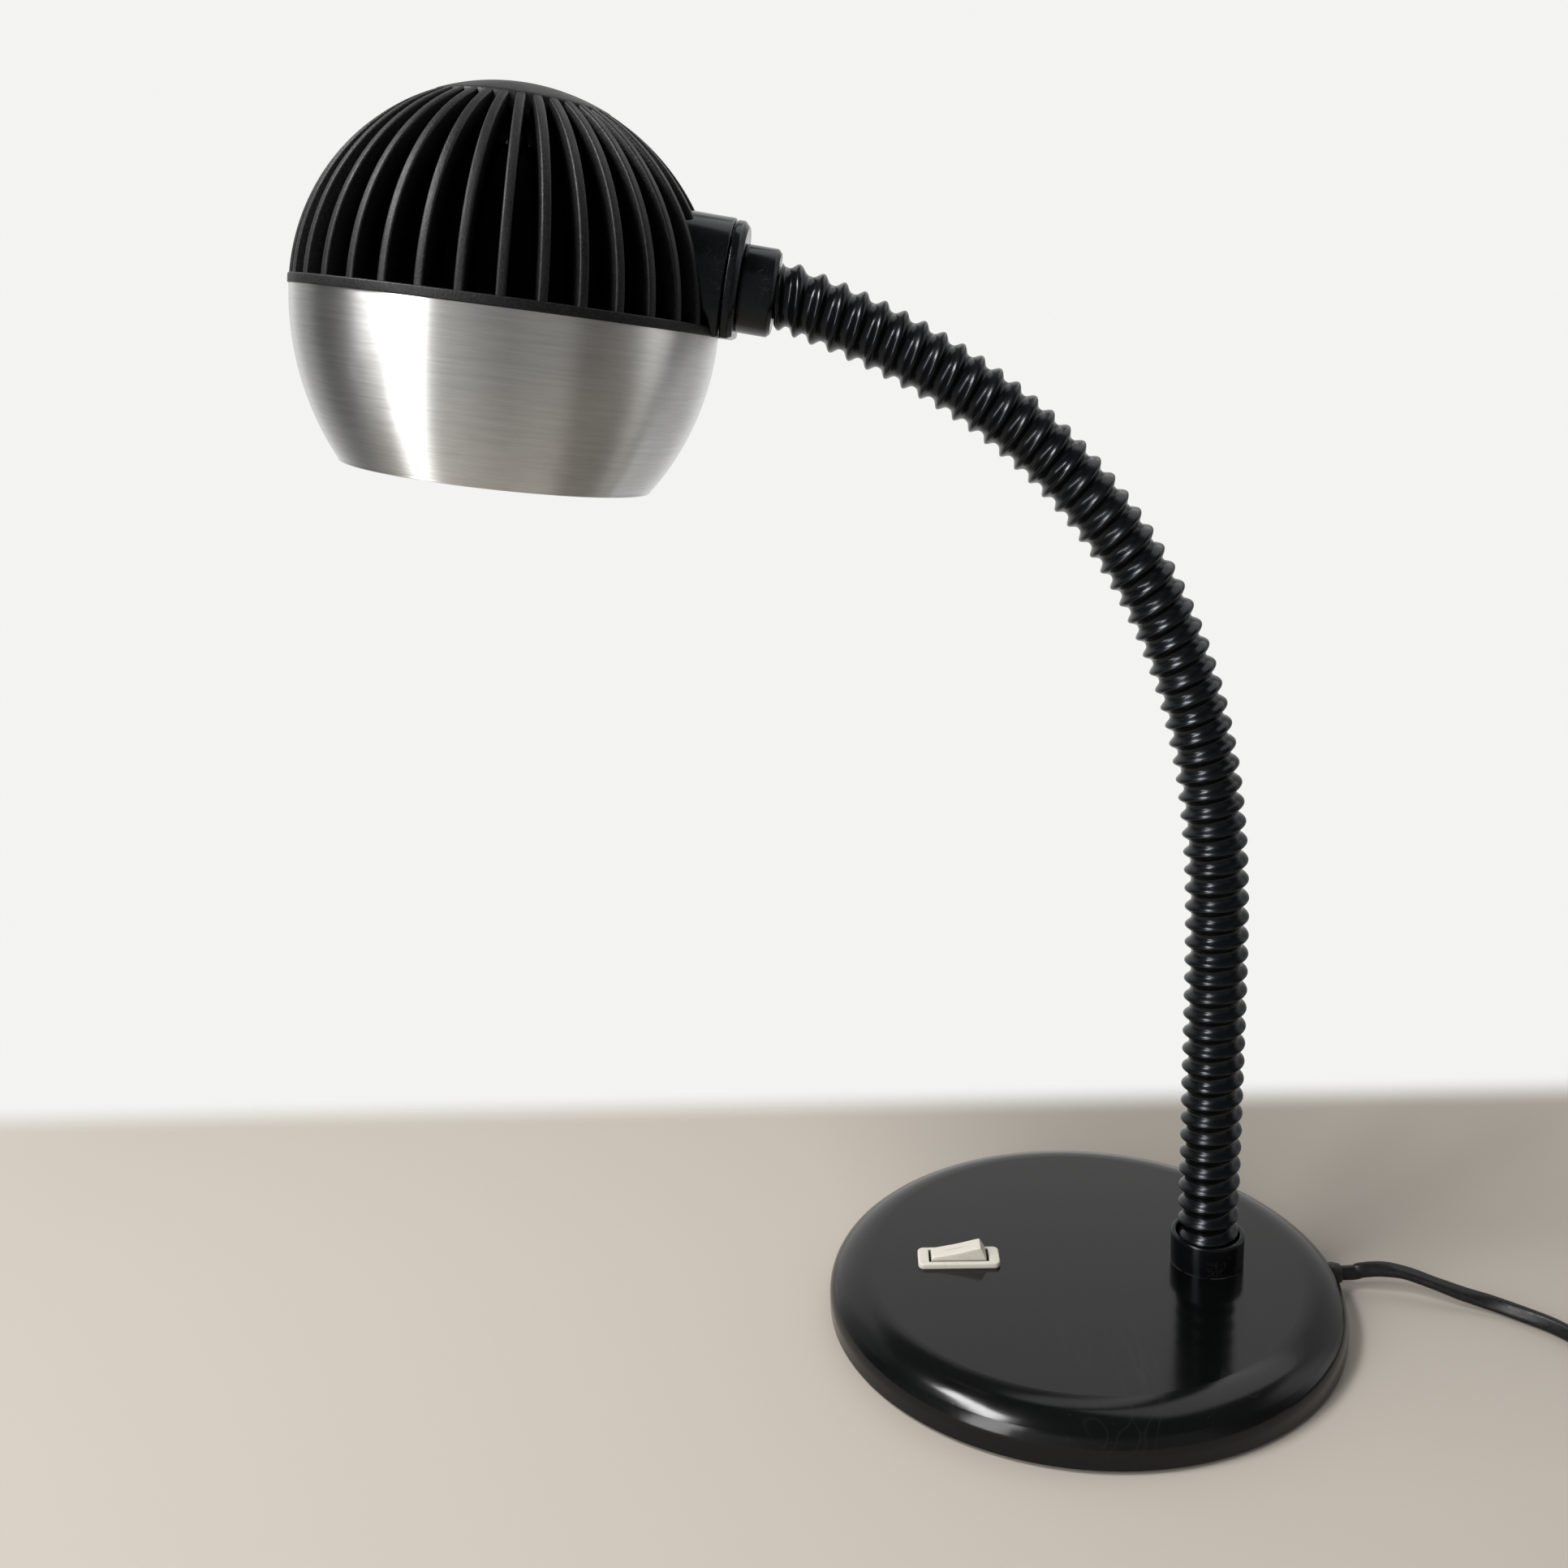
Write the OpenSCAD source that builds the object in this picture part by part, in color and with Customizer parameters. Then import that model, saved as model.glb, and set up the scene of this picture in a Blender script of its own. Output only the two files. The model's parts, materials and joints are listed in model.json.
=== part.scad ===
// Gooseneck desk lamp: weighted round base with a rocker switch, a ribbed flexible neck
// and a finned dome head with a spun aluminium shade. Millimetres, +Z up, +X to the right.
// The origin is the centre of the base on the desk.

/* [Base] */
// Radius of the round base
base_r = 93; // [85:1:110]
// Height of the base above the desk
base_h = 17; // [16:0.5:22]
// Width of the curved shoulder round the flat top of the base
shoulder_w = 15.5; // [14:0.5:19]
// Height where the side of the base starts to curve in
edge_z = 6; // [5:0.5:7]
// Radius of the tight curve at the side of the base
edge_r = 8; // [6:0.5:8.5]
// Wall of the base shell
shell_t = 1.6; // [1.2:0.1:2.2]
// Thickness of the felt pad
pad_t = 1.3; // [1:0.1:2]
// Thickness of the bottom plate
plate_t = 1.2; // [0.8:0.1:1.6]
// Gap between the iron weight and the edge of the flat top
weight_gap = 5.5; // [4.5:0.5:10]

/* [Switch] */
// Distance of the switch from the rim of the base
switch_inset = 48; // [43:0.5:55]
// Place of the switch along Y
switch_y = 1.5; // [-4:0.5:6]
// Length of the bezel
bezel_l = 30; // [28:0.5:34]
// Width of the bezel
bezel_w = 11.6; // [11.2:0.2:14]
// Height of the bezel above the base
bezel_h = 2; // [1.5:0.1:3]
// Length of the rocker's window
window_l = 22; // [21.8:0.1:24]
// Width of the rocker's window
window_w = 8.2; // [7.6:0.1:8.6]
// Tilt of the rocker to each side, in degrees
rocker_tilt = 12; // [8:0.5:13]

/* [Neck] */
// Distance of the neck from the rim of the base
neck_inset = 47.6; // [43:0.2:53]
// Outer diameter of the collar on the base
collar_d = 26; // [25:0.5:32]
// Height of the collar on the base
collar_h = 11.5; // [10:0.5:16]
// Radius of the sleeve at the top of a rib
crest_r = 10.7; // [10.2:0.1:11]
// Radius of the sleeve between two ribs
root_r = 8.5; // [8.4:0.05:8.6]
// Radius of the bore of the sleeve
sleeve_bore_r = 7.3; // [7:0.1:7.4]
// Distance from rib to rib
rib_pitch = 6.69; // [6.5:0.01:7.2]
// Ribs in each section of the neck
section_ribs = 4; // [4:1:5]
// Length of the neck that stands straight
neck_straight = 103; // [90:1:115]
// Length over which the neck would finish its bend
neck_bend_len = 340; // [320:1:380]
// Whole bend of the neck over that length, in degrees
neck_turn = 71.3; // [60:0.1:78]
// Outer radius of the steel core in the neck
core_r = 6.3; // [6:0.1:6.4]

/* [Head] */
// Lean of the head, in degrees
head_tilt = 9.5; // [6:0.5:12]
// Lean of the swivel that carries the head, in degrees
swivel_tilt = 12; // [10:0.5:14]
// Outer radius of the fins of the dome
dome_r = 66.5; // [63:0.5:74]
// Number of fins
fin_count = 36; // [24:2:40]
// Thickness of a fin
fin_t = 2.9; // [2:0.1:3.4]
// Depth of the fins
fin_depth = 12; // [8:0.5:13]
// Wall of the inner dome
dome_t = 2; // [1.5:0.1:3]
// Height of the vent edge of the inner dome
vent_z = 46; // [40:0.5:48]
// Radius of the smooth cap on the dome
cap_r = 27.5; // [24:0.5:29]
// Height of the ring at the foot of the dome
flange_h = 3; // [2.5:0.1:5]
// Outer radius of the boss on the dome
boss_r = 20.2; // [18:0.2:21]
// Height of the swivel axis above the foot of the dome, at the dome's middle
boss_z = 19; // [18:0.5:21]
// Depth of the shade
shade_h = 50.5; // [44:0.5:60]
// Radius of the shade at its rim
shade_rim_r = 50; // [44:0.5:58]
// Wall of the shade
shade_t = 1; // [0.8:0.1:1.6]

/* [Bulb] */
// Radius of the bulb's ball
bulb_r = 22.5; // [20:0.5:24]
// Radius of the lamp holder
holder_r = 14; // [12:0.5:16]
// Length of the lamp holder
holder_l = 27; // [26:0.5:28]

/* [Mains cord] */
// Width of the flat cord
cord_w = 5.6; // [5.2:0.1:6]
// Thickness of the flat cord
cord_t = 3.6; // [3.2:0.1:3.8]
// Height of the cord where it leaves the base
cord_z = 7; // [6.5:0.1:8]
// Direction in which the cord leaves the base, in degrees
cord_angle = 3; // [0:0.5:6]
// Turns in the stored coil
coil_turns = 8; // [6:1:9]
// Thickness of the plug
plug_t = 14; // [13:0.5:16]
// Distance between the two plug pins
pin_gap = 19; // [18.6:0.1:19.4]

/* [Hidden] */
$fn = 64;
SECTIONS = 15;

// Clearances
run_gap = 0.05;
move_gap = 0.3;
seat_gap = 0.1;
// A cut runs this far past the face that it opens
past = 1;

// Colours
BLACK = [0.03, 0.03, 0.032];
SATIN = [0.06, 0.06, 0.062];
IVORY = [0.83, 0.79, 0.68];
STEEL = [0.6, 0.6, 0.62];
IRON = [0.25, 0.25, 0.26];
BRASS = [0.72, 0.56, 0.26];
ALUMINIUM = [0.75, 0.75, 0.76];
OPAL = [0.93, 0.92, 0.88];

// Heights in the base
plate_z = pad_t + plate_t;
under_top = base_h - shell_t;

// Places on the base
flat_r = base_r - shoulder_w;
weight_r = flat_r - weight_gap;
neck_x = base_r - neck_inset;
switch_x = switch_inset - base_r;

// The shoulder of the base is two arcs that touch: a tight one at the side, a wide one above
shoulder_h = base_h - edge_z;
crown_r = (pow(shoulder_w - edge_r, 2) + pow(shoulder_h, 2) - edge_r * edge_r)
  / (2 * (shoulder_h - edge_r));
edge_c = [base_r - edge_r, edge_z];
crown_c = [flat_r, base_h - crown_r];
crown_dir = (edge_c - crown_c) / norm(edge_c - crown_c);

// Wire channel under the weight
channel_w = 12;
channel_top = 9;
lead_r = 1.4;
lead_z = plate_z + lead_r + 0.3;
lead_y = 3.2;

// Threaded tubes that join neck, base and head
nipple_r = 5;
nipple_bore_r = 3.5;
nut_r = 9;
nut_t = 4;
washer_t = 1;
pocket_r = 16;
collar_floor = 3;
nipple_top = base_h + collar_floor + 14;
nut_z = plate_z + 2 * lead_r + 0.7;
washer_z = nut_z + nut_t;
pocket_top = washer_z + washer_t;

// Screws of the base and of the cord clamp
screw_r = 1.9;
screw_head_r = 3.4;
screw_head_t = 1.1;
screw_ring_r = weight_r - pocket_r;
screw_l = 7;
clamp_l = 8;
clamp_x = weight_r - 1.5 * clamp_l;
clamp_w = 22;
clamp_t = 1.6;
clamp_screw_y = 8.6;
clamp_screw_r = 1.2;
clamp_head_r = 1.9;
clamp_head_t = 0.5;
clamp_screw_l = 8;
clamp_z = channel_top - 2 * lead_r - 2 * seat_gap - clamp_t;
clamped_z = clamp_z + clamp_t + seat_gap + lead_r;

// Switch body and rocker
switch_at = [switch_x, switch_y];
bezel_corner = 2.2;
body_l = window_l + 4;
body_w = window_w + 2.2;
pivot_z = base_h + 0.2;
pivot_r = 1.2;
pivot_l = 0.8;
rocker_gap = 0.45;
rocker_end_r = window_l / 2 - rocker_gap;
rocker_w = window_w - 2 * rocker_gap;
rocker_mid = 4.2;
rocker_dish = 1.5;
rocker_under = 3;
foot_w = 3;
foot_h = 1.6;
switch_floor_z = plate_z + 2 * lead_r + 0.7;
cavity_z = switch_floor_z + 1.6;
contact_t = 0.7;
contact_l = 15;
contact_w = 4;
tab_w = 4;
tab_t = 0.8;
tab_x = 8;
tab_top = pivot_z - (rocker_under + foot_h + contact_t) * cos(rocker_tilt)
  - contact_l / 2 * sin(rocker_tilt) - seat_gap * 4;
tab_low = plate_z + 0.5;

// Cord bush in the wall of the base
bush_in = 12;
bush_out = 2.5;
bush_r = 4.1;
bush_tip_r = 3.4;
bush_tail_r = 3;
exit_dir = [cos(cord_angle), sin(cord_angle), 0];
cord_exit = [(base_r + bush_out) * exit_dir.x, (base_r + bush_out) * exit_dir.y, cord_z];

// Sections of the neck: each one stands on a ball joint at the top of the section below
section_l = section_ribs * rib_pitch;
ball_r = root_r - 0.1;
socket_r = ball_r + move_gap;
ball_rise = 3.2;
skirt_z = 1.3;
shoulder_z = 1.6;
rib_half = 2.4;
bead_r = 1.15;
bead_half = 1;
neck_foot = [neck_x, base_h + collar_floor];
function smooth(t) = t <= 0 ? 0 : t >= 1 ? 1 : t * t * (3 - 2 * t);
function lean(k) = neck_turn * smooth(((k + 0.5) * section_l - neck_straight) / neck_bend_len);
function along(angle) = [-sin(angle), cos(angle)];
function joint_at(k) = k == 0 ? neck_foot : joint_at(k - 1) + section_l * along(lean(k - 1));
neck_end = joint_at(SECTIONS);

// The swivel runs from the end of the neck to the head, and the head hangs from it
swivel_lean = 90 - swivel_tilt;
boss_pitch = swivel_tilt - head_tilt;
ferrule_face = 2.2;
ferrule_l = 11;
ferrule_r = 13.4;
ring_t = 3.9;
ring_r = boss_r - 0.4;
ring_cut = 1.6;
swivel_washer_t = 0.5;
swivel_washer_r = 14;
ring_z = ferrule_face + ferrule_l + run_gap;
swivel_washer_z = ring_z + ring_t;
boss_face_z = swivel_washer_z + swivel_washer_t;
boss_end = dome_r + 1.5;
head_axis_z = boss_face_z + boss_end;
up = [sin(head_tilt), cos(head_tilt)];
head_at = neck_end + head_axis_z * along(swivel_lean) - boss_z * up;

// Dome
inner_r = dome_r - fin_depth + 0.5;
fin_foot_r = inner_r - dome_t / 2;
flange_r = dome_r + 0.4;
cap_top_r = dome_r + 0.15;
cap_t = 4;
boss_inner_r = 12;
boss_inner = sqrt(pow(inner_r - dome_t, 2) - boss_z * boss_z) - 4.5;
swivel_nipple_low = ferrule_face + 5;
swivel_nut_z = head_axis_z - boss_inner + move_gap;
holder_z = swivel_nut_z + nut_t;
bulb_cap_r = 6.9;
bulb_neck_r = 8.2;
bulb_cap_l = 17;
glass_t = 0.8;
holder_wall = 2;
cap_floor_z = holder_z + 8;
bulb_seat_z = cap_floor_z + bulb_cap_l;
bulb_reach = 28;
bulb_c = bulb_seat_z + bulb_reach;

// Shade: a round arc that leaves the foot of the dome upright and ends at the rim
shade_drop = dome_r - shade_rim_r;
shade_arc = (shade_drop * shade_drop + shade_h * shade_h) / (2 * shade_drop);
shade_lip = 9;
rim_bead = 0.9;
shade_screw_count = 3;
shade_screw_r = 1.5;
shade_screw_head_r = 2.8;
shade_screw_at = dome_r - 5;

// Cord route, chosen by hand, from the exit to the coil: distance from the rim, place along Y, height
CORD_ROUTE = [
  [10, 5, 8], [17, 4, 9], [25, 2, 8.6], [34, -2, 6.8], [38.5, -4, 5.8], [43, -6, 4.8],
  [52, -10, 3.4], [60, -16, 3], [67, -22.5, 3], [72.5, -30, 3], [77, -38.5, 3.3]];
// Turn of the cord's wide side from upright at each of those points, in degrees
CORD_ROLL = [20, 50, 80, 85, 78, 70, 50, 30, 15, 5, 0];
coil_c = [base_r + 123, -66];
coil_gap = 0.7;
coil_in_r = 23;
coil_rings = 24;
coil_lift = 1;
coil_start = 180;
coil_sweep = 360 * coil_turns + 180;
coil_pitch = cord_t + coil_gap;
coil_low = coil_lift + cord_w / 2;
coil_layer = cord_w + coil_gap;
coil_mid = coil_sweep / 2;
function coil_r(a) = coil_in_r + coil_pitch * abs(a - coil_mid) / 360;
function coil_z(a) = coil_low + coil_layer * smooth((a - coil_mid + 90) / 180);
function coil_point(a) = [
  coil_c.x + coil_r(a) * cos(coil_start + a),
  coil_c.y + coil_r(a) * sin(coil_start + a),
  coil_z(a)];
coil_first = coil_point(0);
coil_last = coil_point(coil_sweep);
coil_entry = coil_first + [0, 2 * cord_w, 0];
tie_t = 0.7;
tie_w = 7;
tie_gap = 0.25;
plug_l = 34;
plug_w = 26;
plug_tail_l = 12;
plug_at = [coil_last.x, coil_last.y + 4 * cord_w, plug_t / 2 + seat_gap];
pin_r = 2;
pin_l = 19;

// Swept tubes: a ring of points across the route at each of its points
function unit(v) = v / norm(v);
function heading(p, i) =
  i == 0 ? unit(p[1] - p[0]) :
  i == len(p) - 1 ? unit(p[i] - p[i - 1]) : unit(unit(p[i + 1] - p[i]) + unit(p[i] - p[i - 1]));
// Level direction across a route; a route in the lamp's middle plane keeps to one side
function beside(d) = d.y == 0 ? [0, 1, 0] : unit(cross([0, 0, 1], d));
function ring(c, d, tall, wide, roll, sides) =
  let (s = beside(d), u = cross(d, s))
  let (a = cos(roll) * u + sin(roll) * s, b = cos(roll) * s - sin(roll) * u)
  [for (i = [0 : sides - 1]) c + tall * cos(360 * i / sides) * a + wide * sin(360 * i / sides) * b];
function tube_faces(rings, sides) = concat(
  [for (k = [0 : rings - 2], i = [0 : sides - 1])
    let (j = (i + 1) % sides, a = k * sides, b = a + sides)
    each [[a + i, b + j, a + j], [a + i, b + i, b + j]]],
  [for (i = [1 : sides - 2]) [0, i, i + 1]],
  [for (i = [1 : sides - 2]) let (a = (rings - 1) * sides) [a, a + i + 1, a + i]]);

module tube(path, tall, wide, rolls, sides) {
  points = [for (i = [0 : len(path) - 1])
    each ring(path[i], heading(path, i), tall, wide, rolls[i], sides)];
  polyhedron(points, tube_faces(len(path), sides), convexity = 10);
}

module round_tube(path, r, sides) {
  tube(path, r, r, [for (p = path) 0], sides);
}

// A pipe along a route: the outer rings, then the inner rings, closed by a flat ring at each end
module hollow_tube(path, r, bore, sides) {
  rings = len(path);
  inside = rings * sides;
  points = [for (size = [r, bore], i = [0 : rings - 1])
    each ring(path[i], heading(path, i), size, size, 0, sides)];
  walls = [for (k = [0 : rings - 2], i = [0 : sides - 1])
    let (j = (i + 1) % sides, a = k * sides, b = a + sides)
    each [[a + i, b + j, a + j], [a + i, b + i, b + j],
      [inside + a + i, inside + a + j, inside + b + j], [inside + a + i, inside + b + j, inside + b + i]]];
  ends = [for (i = [0 : sides - 1]) let (j = (i + 1) % sides, a = (rings - 1) * sides)
    each [[i, j, inside + j], [i, inside + j, inside + i],
      [a + i, inside + a + j, a + j], [a + i, inside + a + i, inside + a + j]]];
  polyhedron(points, concat(walls, ends), convexity = 10);
}

// Places a piece that is drawn along +Z at a point of the lamp's middle plane
module on_line(at, angle) {
  translate([at.x, 0, at.y]) rotate([0, -angle, 0]) children();
}

module on_swivel() {
  on_line(neck_end, swivel_lean) children();
}

module in_head() {
  translate([head_at.x, 0, head_at.y]) rotate([0, head_tilt, 0]) children();
}

module pipe(r, bore, h) {
  difference() {
    cylinder(r = r, h = h);
    translate([0, 0, -past]) cylinder(r = bore, h = h + 2 * past);
  }
}

module rounded_rect(l, w, r) {
  union() {
    square([l - 2 * r, w], center = true);
    square([l, w - 2 * r], center = true);
    for (x = [-1, 1], y = [-1, 1])
      translate([x * (l / 2 - r), y * (w / 2 - r)]) circle(r);
  }
}

module hex(r, h) {
  cylinder(r = r, h = h, $fn = 6);
}

// Half section of the base, moved in by a wall, down to a given height
module base_section(inset, low) {
  top = base_h - inset;
  translate([0, low]) square([base_r - inset, edge_z - low]);
  translate([0, low]) square([flat_r, top - low]);
  intersection() {
    translate(edge_c) circle(edge_r - inset);
    translate(edge_c) square(edge_r);
  }
  intersection() {
    translate(crown_c) circle(crown_r - inset);
    polygon([crown_c, crown_c + [0, 2 * crown_r], crown_c + 2 * crown_r * crown_dir]);
    translate([0, low]) square([base_r, base_h]);
  }
}

module switch_space(l, w, low, high) {
  translate([switch_at.x, switch_at.y, (low + high) / 2]) cube([l, w, high - low], center = true);
}

module cord_line() {
  rotate([0, 0, cord_angle]) translate([0, 0, cord_z]) rotate([0, 90, 0]) children();
}

module base_shell() {
  color(SATIN) difference() {
    rotate_extrude() difference() {
      base_section(0, pad_t);
      base_section(shell_t, pad_t - past);
    }
    switch_space(body_l + 2 * seat_gap, body_w + 2 * seat_gap, under_top - past, base_h + past);
    translate([neck_x, 0, under_top - past]) cylinder(r = nipple_r + seat_gap, h = shell_t + 2 * past);
    cord_line() cylinder(r = bush_r + run_gap, h = base_r + past);
  }
}

module base_weight() {
  color(IRON) difference() {
    translate([0, 0, plate_z]) cylinder(r = weight_r, h = under_top - plate_z);
    switch_space(body_l + 2, body_w + 4, plate_z - past, base_h);
    translate([neck_x, 0, plate_z - past]) cylinder(r = nipple_r + seat_gap, h = base_h);
    translate([neck_x, 0, plate_z - past]) cylinder(r = pocket_r, h = pocket_top - plate_z + past);
    translate([switch_x, -channel_w / 2, plate_z - past])
      cube([base_r - switch_x, channel_w, channel_top - plate_z + past]);
    translate([clamp_x - clamp_l / 2 - seat_gap, -clamp_w / 2 - seat_gap, plate_z - past])
      cube([clamp_l + 2 * seat_gap, clamp_w + 2 * seat_gap, clamp_z + clamp_t - plate_z + past]);
    screw_places() translate([0, 0, plate_z - past]) cylinder(r = screw_r, h = screw_l + past);
    clamp_screw_places() translate([0, 0, clamp_z]) cylinder(r = clamp_screw_r, h = clamp_screw_l);
  }
}

module screw_places() {
  for (a = [90, 210, 330]) rotate([0, 0, a]) translate([screw_ring_r, 0, 0]) children();
}

module clamp_screw_places() {
  for (y = [-1, 1]) translate([clamp_x, y * clamp_screw_y, 0]) children();
}

module base_plate() {
  color(IRON) difference() {
    translate([0, 0, pad_t]) cylinder(r = base_r - shell_t - seat_gap, h = plate_t);
    screw_places() cylinder(r = screw_r + seat_gap, h = base_h);
  }
}

module base_pad() {
  color(BLACK) difference() {
    cylinder(r = base_r - 2.5, h = pad_t);
    screw_places() translate([0, 0, -past]) cylinder(r = screw_head_r + 0.6, h = base_h);
  }
}

module base_screws() {
  color(STEEL) screw_places() {
    translate([0, 0, pad_t]) cylinder(r = screw_r, h = plate_t + screw_l - past);
    translate([0, 0, pad_t - screw_head_t]) cylinder(r = screw_head_r, h = screw_head_t);
  }
}

module neck_collar() {
  rim = 1;
  color(BLACK) translate([neck_x, 0, base_h]) rotate_extrude() difference() {
    union() {
      square([collar_d / 2, collar_h - rim]);
      square([collar_d / 2 - rim, collar_h]);
      translate([collar_d / 2 - rim, collar_h - rim]) circle(rim);
    }
    translate([0, -past]) square([nipple_r + seat_gap, collar_h + 2 * past]);
    translate([0, collar_floor]) square([crest_r + 0.5, collar_h]);
  }
}

module neck_nipple() {
  color(STEEL) translate([neck_x, 0, nut_z]) pipe(nipple_r, nipple_bore_r, nipple_top - nut_z);
}

module neck_nut() {
  color(STEEL) translate([neck_x, 0, nut_z]) difference() {
    hex(nut_r, nut_t);
    translate([0, 0, -past]) cylinder(r = nipple_r, h = nut_t + 2 * past);
  }
}

module neck_washer() {
  color(STEEL) translate([neck_x, 0, washer_z]) pipe(nut_r + 2, nipple_r + seat_gap, washer_t);
}

module switch_housing() {
  color(IVORY) difference() {
    union() {
      translate([switch_at.x, switch_at.y, base_h]) linear_extrude(bezel_h)
        rounded_rect(bezel_l, bezel_w, bezel_corner);
      switch_space(body_l, body_w, switch_floor_z, base_h + 0.5);
    }
    switch_space(window_l, window_w, cavity_z, base_h + bezel_h + past);
    at_pivot() rotate([90, 0, 0])
      cylinder(r = pivot_r + run_gap, h = window_w + 2 * pivot_l, center = true);
    tabs();
  }
}

module at_pivot() {
  translate([switch_at.x, switch_at.y, pivot_z]) children();
}

module tabs() {
  for (x = [-1, 1])
    translate([switch_at.x + x * tab_x, switch_at.y, (tab_low + tab_top) / 2])
      cube([tab_t, tab_w, tab_top - tab_low], center = true);
}

module switch_terminals() {
  color(BRASS) tabs();
}

// The rocker rests with its left end pressed in
module rocker_frame() {
  at_pivot() rotate([0, -rocker_tilt, 0]) children();
}

module switch_rocker() {
  reach = window_l;
  rise = reach * tan(rocker_dish);
  color(IVORY) rocker_frame() union() {
    rotate([90, 0, 0]) linear_extrude(rocker_w, center = true) {
      intersection() {
        circle(rocker_end_r);
        polygon([[-reach, -rocker_under], [reach, -rocker_under], [reach, rocker_mid + rise],
          [0, rocker_mid], [-reach, rocker_mid + rise]]);
      }
      translate([0, -rocker_under - foot_h / 2 + 0.1]) square([foot_w, foot_h + 0.2], center = true);
    }
    rotate([90, 0, 0]) cylinder(r = pivot_r, h = window_w + 2 * pivot_l - 0.2, center = true);
  }
}

module switch_contact() {
  color(BRASS) rocker_frame() translate([0, 0, -rocker_under - foot_h - contact_t / 2])
    cube([contact_l, contact_w, contact_t], center = true);
}

module cord_bush() {
  wall = base_r - shell_t;
  color(BLACK) cord_line() difference() {
    union() {
      translate([0, 0, wall - bush_in]) cylinder(r1 = bush_tail_r + 0.6, r2 = bush_r, h = bush_in);
      translate([0, 0, wall - past]) cylinder(r = bush_r, h = shell_t + past);
      translate([0, 0, base_r]) cylinder(r1 = bush_r, r2 = bush_tip_r, h = bush_out);
    }
    translate([0, 0, wall - bush_in - past]) cylinder(r = lead_r + seat_gap, h = bush_in - 2);
  }
}

module cord_clamp() {
  color(BLACK) difference() {
    translate([clamp_x - clamp_l / 2, -clamp_w / 2, clamp_z]) cube([clamp_l, clamp_w, clamp_t]);
    clamp_screw_places() cylinder(r = clamp_screw_r + seat_gap, h = base_h);
  }
}

module clamp_screws() {
  color(STEEL) clamp_screw_places() translate([0, 0, clamp_z]) {
    translate([0, 0, -clamp_head_t]) cylinder(r = clamp_head_r, h = clamp_head_t);
    cylinder(r = clamp_screw_r, h = clamp_screw_l);
  }
}

// The lead runs from the switch along the channel, round the neck's nut and over the clamp to the bush
module mains_lead() {
  tail = base_r - shell_t - bush_in;
  start_x = switch_at.x + tab_x + tab_t / 2;
  path = [
    [start_x, switch_at.y, lead_z], [start_x + 4, switch_at.y, lead_z],
    [start_x + 16, lead_y, lead_z], [0, lead_y, lead_z], [neck_x - 14.4, lead_y, lead_z],
    [neck_x - 9, 8.6, lead_z], [neck_x - 4, 11.8, lead_z], [neck_x + 2, 12.2, lead_z],
    [neck_x + 7, 10, lead_z + 1.5], [clamp_x - 4.6, 4.6, clamped_z], [clamp_x + 4.6, lead_y, clamped_z],
    (tail - 2) * exit_dir + [0, 0, cord_z], (tail + bush_in - 3) * exit_dir + [0, 0, cord_z]];
  color(BLACK) round_tube(path, lead_r, 8);
}

// The flex runs from the far terminal, under the switch, up the neck and into the lamp holder
module neck_flex() {
  start_x = switch_at.x - tab_x + tab_t / 2;
  rise = [for (k = [2 : SECTIONS - 1]) [joint_at(k).x, 0, joint_at(k).y]];
  tip = neck_end + (holder_z - 4) * along(swivel_lean);
  path = concat(
    [[start_x, switch_at.y, lead_z], [start_x + 2.5, switch_at.y, lead_z],
     [start_x + tab_x + tab_t, -lead_y, lead_z], [neck_x - 2 * channel_w, -lead_y, lead_z],
     [neck_x - channel_w, -1, lead_z], [neck_x - nipple_r, 0, lead_z], [neck_x - lead_r, 0, lead_z + 0.8],
     [neck_x, 0, nut_z + 3], [neck_x, 0, nipple_top]],
    rise,
    [[neck_end.x, 0, neck_end.y], [tip.x, 0, tip.y]]);
  color(BLACK) round_tube(path, lead_r, 8);
}

// The steel core is one tube along the neck, seated on the two threaded tubes
module neck_core() {
  tip = neck_end + swivel_nipple_low * along(swivel_lean);
  path = concat(
    [[neck_x, 0, nipple_top]],
    [for (k = [2 : SECTIONS]) [joint_at(k).x, 0, joint_at(k).y]],
    [[tip.x, 0, tip.y]]);
  color(STEEL) hollow_tube(path, core_r, nipple_bore_r + 0.7, 12);
}

module rib_section() {
  flank_r = crest_r - bead_r + 0.55;
  foot_r = root_r - 0.1;
  polygon([[foot_r, -rib_half], [flank_r, -bead_half], [flank_r, bead_half], [foot_r, rib_half]]);
  translate([crest_r - bead_r, 0]) circle(bead_r);
}

// One section of the ribbed sleeve, with its socket at the foot and its ball at the top
module neck_section(k) {
  low = k == 0 ? 0 : skirt_z;
  high = section_l - shoulder_z;
  color(BLACK) on_line(joint_at(k), lean(k)) rotate_extrude() difference() {
    union() {
      intersection() {
        union() {
          translate([sleeve_bore_r, 0]) square([root_r - sleeve_bore_r, section_l]);
          for (i = [0 : section_ribs - 1]) translate([0, (i + 0.5) * rib_pitch]) rib_section();
        }
        translate([0, low]) square([2 * crest_r, high - low]);
      }
      intersection() {
        translate([0, section_l]) circle(ball_r);
        translate([sleeve_bore_r, high - 0.2]) square([ball_r, ball_rise + shoulder_z + 0.2]);
      }
    }
    translate([0, -section_l]) square([sleeve_bore_r, 3 * section_l]);
    if (k > 0) circle(socket_r);
  }
}

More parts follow.
